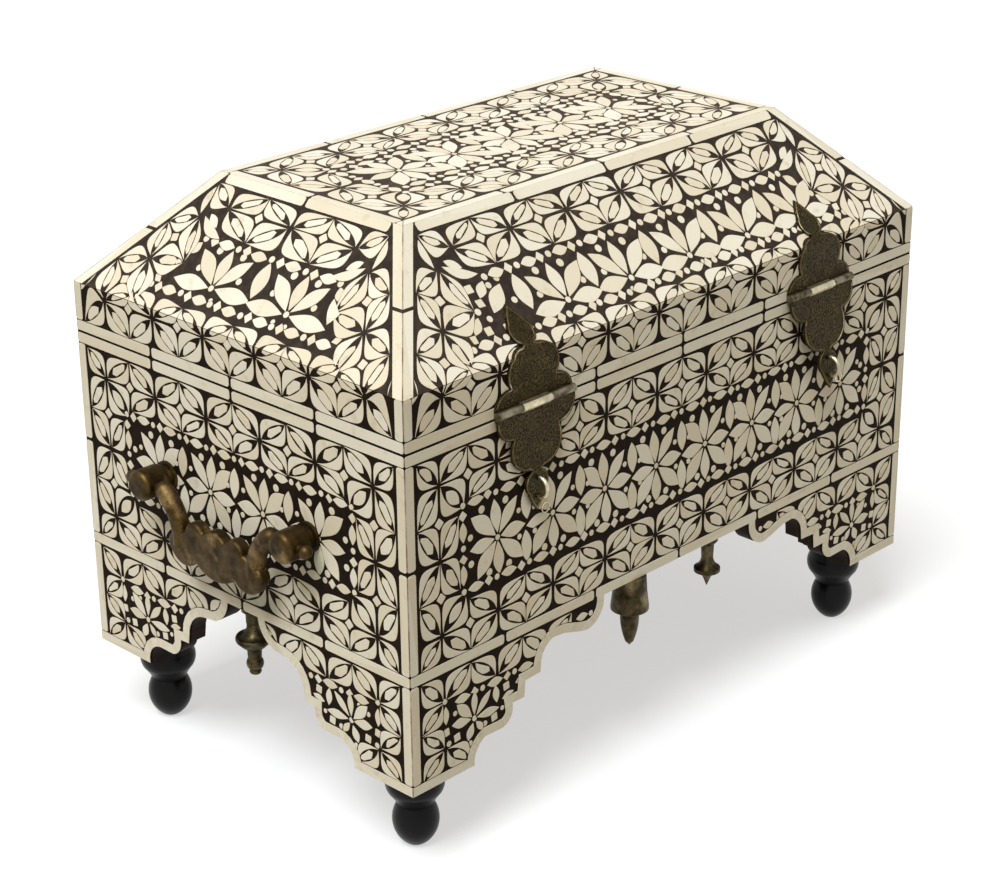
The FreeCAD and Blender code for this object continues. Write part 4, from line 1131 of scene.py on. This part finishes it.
def dress_hasps(paints):
    """Bright middle knuckles and loops, and dull outer knuckles, on the chased leaves."""
    axis_y, axis_z = HASP_AXIS
    for side, sx in (("left", -1), ("right", 1)):
        centre = sx * (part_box("front_board")[1][0] / MM - HASP_INSET)
        tilt = math.radians(HASP_TILTS_DEG[side])

        def on_barrel(p):
            return math.hypot(p.y - axis_y, p.z - axis_z) < BARREL_REACH

        def on_loop(p):
            out = -(p.y - axis_y) * math.cos(tilt) + (p.z - axis_z) * math.sin(tilt)
            fall = -(p.z - axis_z) * math.cos(tilt) - (p.y - axis_y) * math.sin(tilt)
            return fall > LOOP_FALL and out > LOOP_RISE

        def on_pale(p):
            return on_barrel(p) and abs(p.x - centre) < KNUCKLE_HALF or on_loop(p)

        for half, body in (("upper", "lid"), ("lower", "hasp_" + side)):
            name = "%s_hasp_%s_leaf" % (side, half)
            repaint(name, paints["dull"], on_barrel)
            repaint(name, paints["pale"], on_pale)
            rim(name, "%s_%s_rim" % (side, half), body, paints["rim"])


def flats(mesh, facing):
    """The polygons of the large flat parts of a mesh that face a way."""
    groups = {}
    for polygon in mesh.polygons:
        normal = polygon.normal
        if normal.dot(facing) > 0.5:
            key = (*(round(c, 2) for c in normal), round(normal.dot(polygon.center) / MM, 0))
            groups.setdefault(key, []).append(polygon)
    large = [group for group in groups.values() if sum(p.area for p in group) > FLAT_LEAST * MM * MM]
    return [polygon for group in large for polygon in group]


def spaced(line, least):
    """The points of a line that keep a least distance from each other, its ends among them."""
    kept = [line[0]]
    for point in line[1:-1]:
        if math.dist(point, kept[-1]) > least and math.dist(point, line[-1]) > least:
            kept.append(point)
    return kept + [line[-1]]


def rim(node, name, body, material):
    """A raised line that runs just inside the outline of a flat leaf."""
    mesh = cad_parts[node].data
    keyed = [tuple(round(c / MM, 2) for c in vertex.co) for vertex in mesh.vertices]
    after, normals = {}, {}
    for polygon in flats(mesh, Vector(RIM_FACING)):
        corners = [keyed[i] for i in polygon.vertices]
        for i, a in enumerate(corners):
            b = corners[(i + 1) % len(corners)]
            after.setdefault(a, set()).add(b)
            normals[a] = polygon.normal
    edges = {(a, b) for a, ends in after.items() for b in ends if a not in after.get(b, ())}
    follow = {a: b for a, b in edges if min(abs(p[2] - HASP_AXIS[1]) for p in (a, b)) > RIM_BARREL_GAP}
    firsts = [a for a in follow if a not in follow.values()] or list(follow)[:1]
    points, faces = [], []
    for first in firsts:
        line = [first]
        while line[-1] in follow and (len(line) == 1 or line[-1] != first):
            line.append(follow[line[-1]])
        line = spaced(line, RIM_SPACING)
        if len(line) < 3:
            continue
        base = len(points)
        for i, here in enumerate(line):
            before, later = Vector(line[max(i - 1, 0)]), Vector(line[min(i + 1, len(line) - 1)])
            normal = normals[here]
            inward = normal.cross(later - before).normalized()
            for step, level in RIM_STEPS:
                points.append((Vector(here) + inward * step + normal * level) * MM)
        for i in range(len(line) - 1):
            for k in range(3):
                a = base + i * 4 + k
                faces.append((a, a + 4, a + 5, a + 1))
    piece = mesh_object(name, points, faces, material)
    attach(piece, body)


# Stage, light and camera
FLOOR_COLOUR = (0.30, 0.275, 0.22)
FLOOR_SEEN_COLOUR = (0.42, 0.42, 0.42)
FLOOR_GLOW = 0.58
FLOOR_HALF_M = 12.0
WORLD_LIGHT = 0.32
WORLD_COLOUR = (1.0, 0.90, 0.72, 1.0)
WHITE = (1.0, 1.0, 1.0, 1.0)
KEY_LIGHT = 3.55
KEY_COLOUR = (0.935, 0.967, 1.0)
KEY_SPREAD_DEG = 28
KEY_FROM = (-0.50, -0.17, 1.0)


def build_stage():
    """A plain pale floor, which is white to the camera and in gloss."""
    paint = Paint("floor_paint", roughness=0.9, specular_ior_level=0.0)
    seen = paint.seen()
    paint.set(base_color=paint.mix(seen, FLOOR_COLOUR, FLOOR_SEEN_COLOUR), emission_color=WHITE,
              emission_strength=paint.maths("MULTIPLY", seen, FLOOR_GLOW))
    corners = [(x * FLOOR_HALF_M, y * FLOOR_HALF_M, 0) for x, y in ((-1, -1), (1, -1), (1, 1), (-1, 1))]
    floor = mesh_object("floor", corners, [(0, 1, 2, 3)], paint.material)


def build_light():
    """A warm even world, white to the camera and in gloss, and one soft lamp from the left."""
    world = bpy.data.worlds.new("studio")
    bpy.context.scene.world = world
    sky = Nodes(world)
    light = sky.node("ShaderNodeBackground", {"Color": WORLD_COLOUR, "Strength": WORLD_LIGHT}).outputs[0]
    backdrop = sky.node("ShaderNodeBackground", {"Color": WHITE}).outputs[0]
    either = sky.node("ShaderNodeMixShader", {0: sky.seen(), 1: light, 2: backdrop}).outputs[0]
    sky.feed(sky.tree.nodes["World Output"].inputs["Surface"], either)
    lamp = bpy.data.lights.new("key", "SUN")
    lamp.energy = KEY_LIGHT
    lamp.color = KEY_COLOUR
    lamp.angle = math.radians(KEY_SPREAD_DEG)
    new_object("key", lamp).rotation_euler = Vector(KEY_FROM).to_track_quat("Z", "Y").to_euler()


def build_camera():
    """The photograph's camera."""
    camera = bpy.data.cameras.new("camera")
    camera.lens = CAMERA_LENS
    camera.sensor_width = SENSOR_WIDTH
    camera.clip_end = CAMERA_REACH_M
    azimuth, elevation, roll = (math.radians(angle) for angle in CAMERA_ANGLES_DEG)
    thing = new_object("camera", camera)
    thing.matrix_world = (Matrix.Translation(Vector(CAMERA_EYE) * MM) @ Matrix.Rotation(azimuth, 4, "Z")
                          @ Matrix.Rotation(math.pi / 2 - elevation, 4, "X") @ Matrix.Rotation(roll, 4, "Z"))
    bpy.context.scene.camera = thing


bpy.context.scene.view_settings.view_transform = "Standard"
build_camera()
build_light()
build_stage()
paints = {"strips": bone_paint("bone_strips", False), "wood": wood_paint("carcass_wood", 0),
          "cross_wood": wood_paint("cross_wood", 1),
          "ground": ground_paint("inlay_ground", GROUND_DARK, GROUND_WORN),
          "lacquer": lacquer_paint(),
          "stained": stained_paint(),
          "hasp": chased_paint("hasp_metal", HASP_DARK, HASP_METAL, shade(HASP_METAL, 1.5), CHASED_SIZE),
          "rim": metal_paint("hasp_rim", HASP_METAL, RIM_METAL, PALE_BRASS, 0.36, 60),
          "pale": metal_paint("pale_brass", DULL_BRASS, PALE_BRASS, PALE_BRASS, 0.25, 60),
          "dull": metal_paint("dull_brass", HASP_METAL, DULL_BRASS, DULL_BRASS, 0.4, 90),
          "pendant": metal_paint("pendant_brass", HASP_DARK, PENDANT_BRASS, PENDANT_BRIGHT, 0.38, 70),
          "hinge": metal_paint("hinge_brass", BRASS_DARK, BRASS, BRASS_BRIGHT, 0.4, 50),
          "brass": metal_paint("aged_brass", BRASS_DARK, BRASS, BRASS_BRIGHT, 0.42, 60)}
dress_nodes(paints)
dress_hasps(paints)
lay_inlay(bone_paint("bone", True))
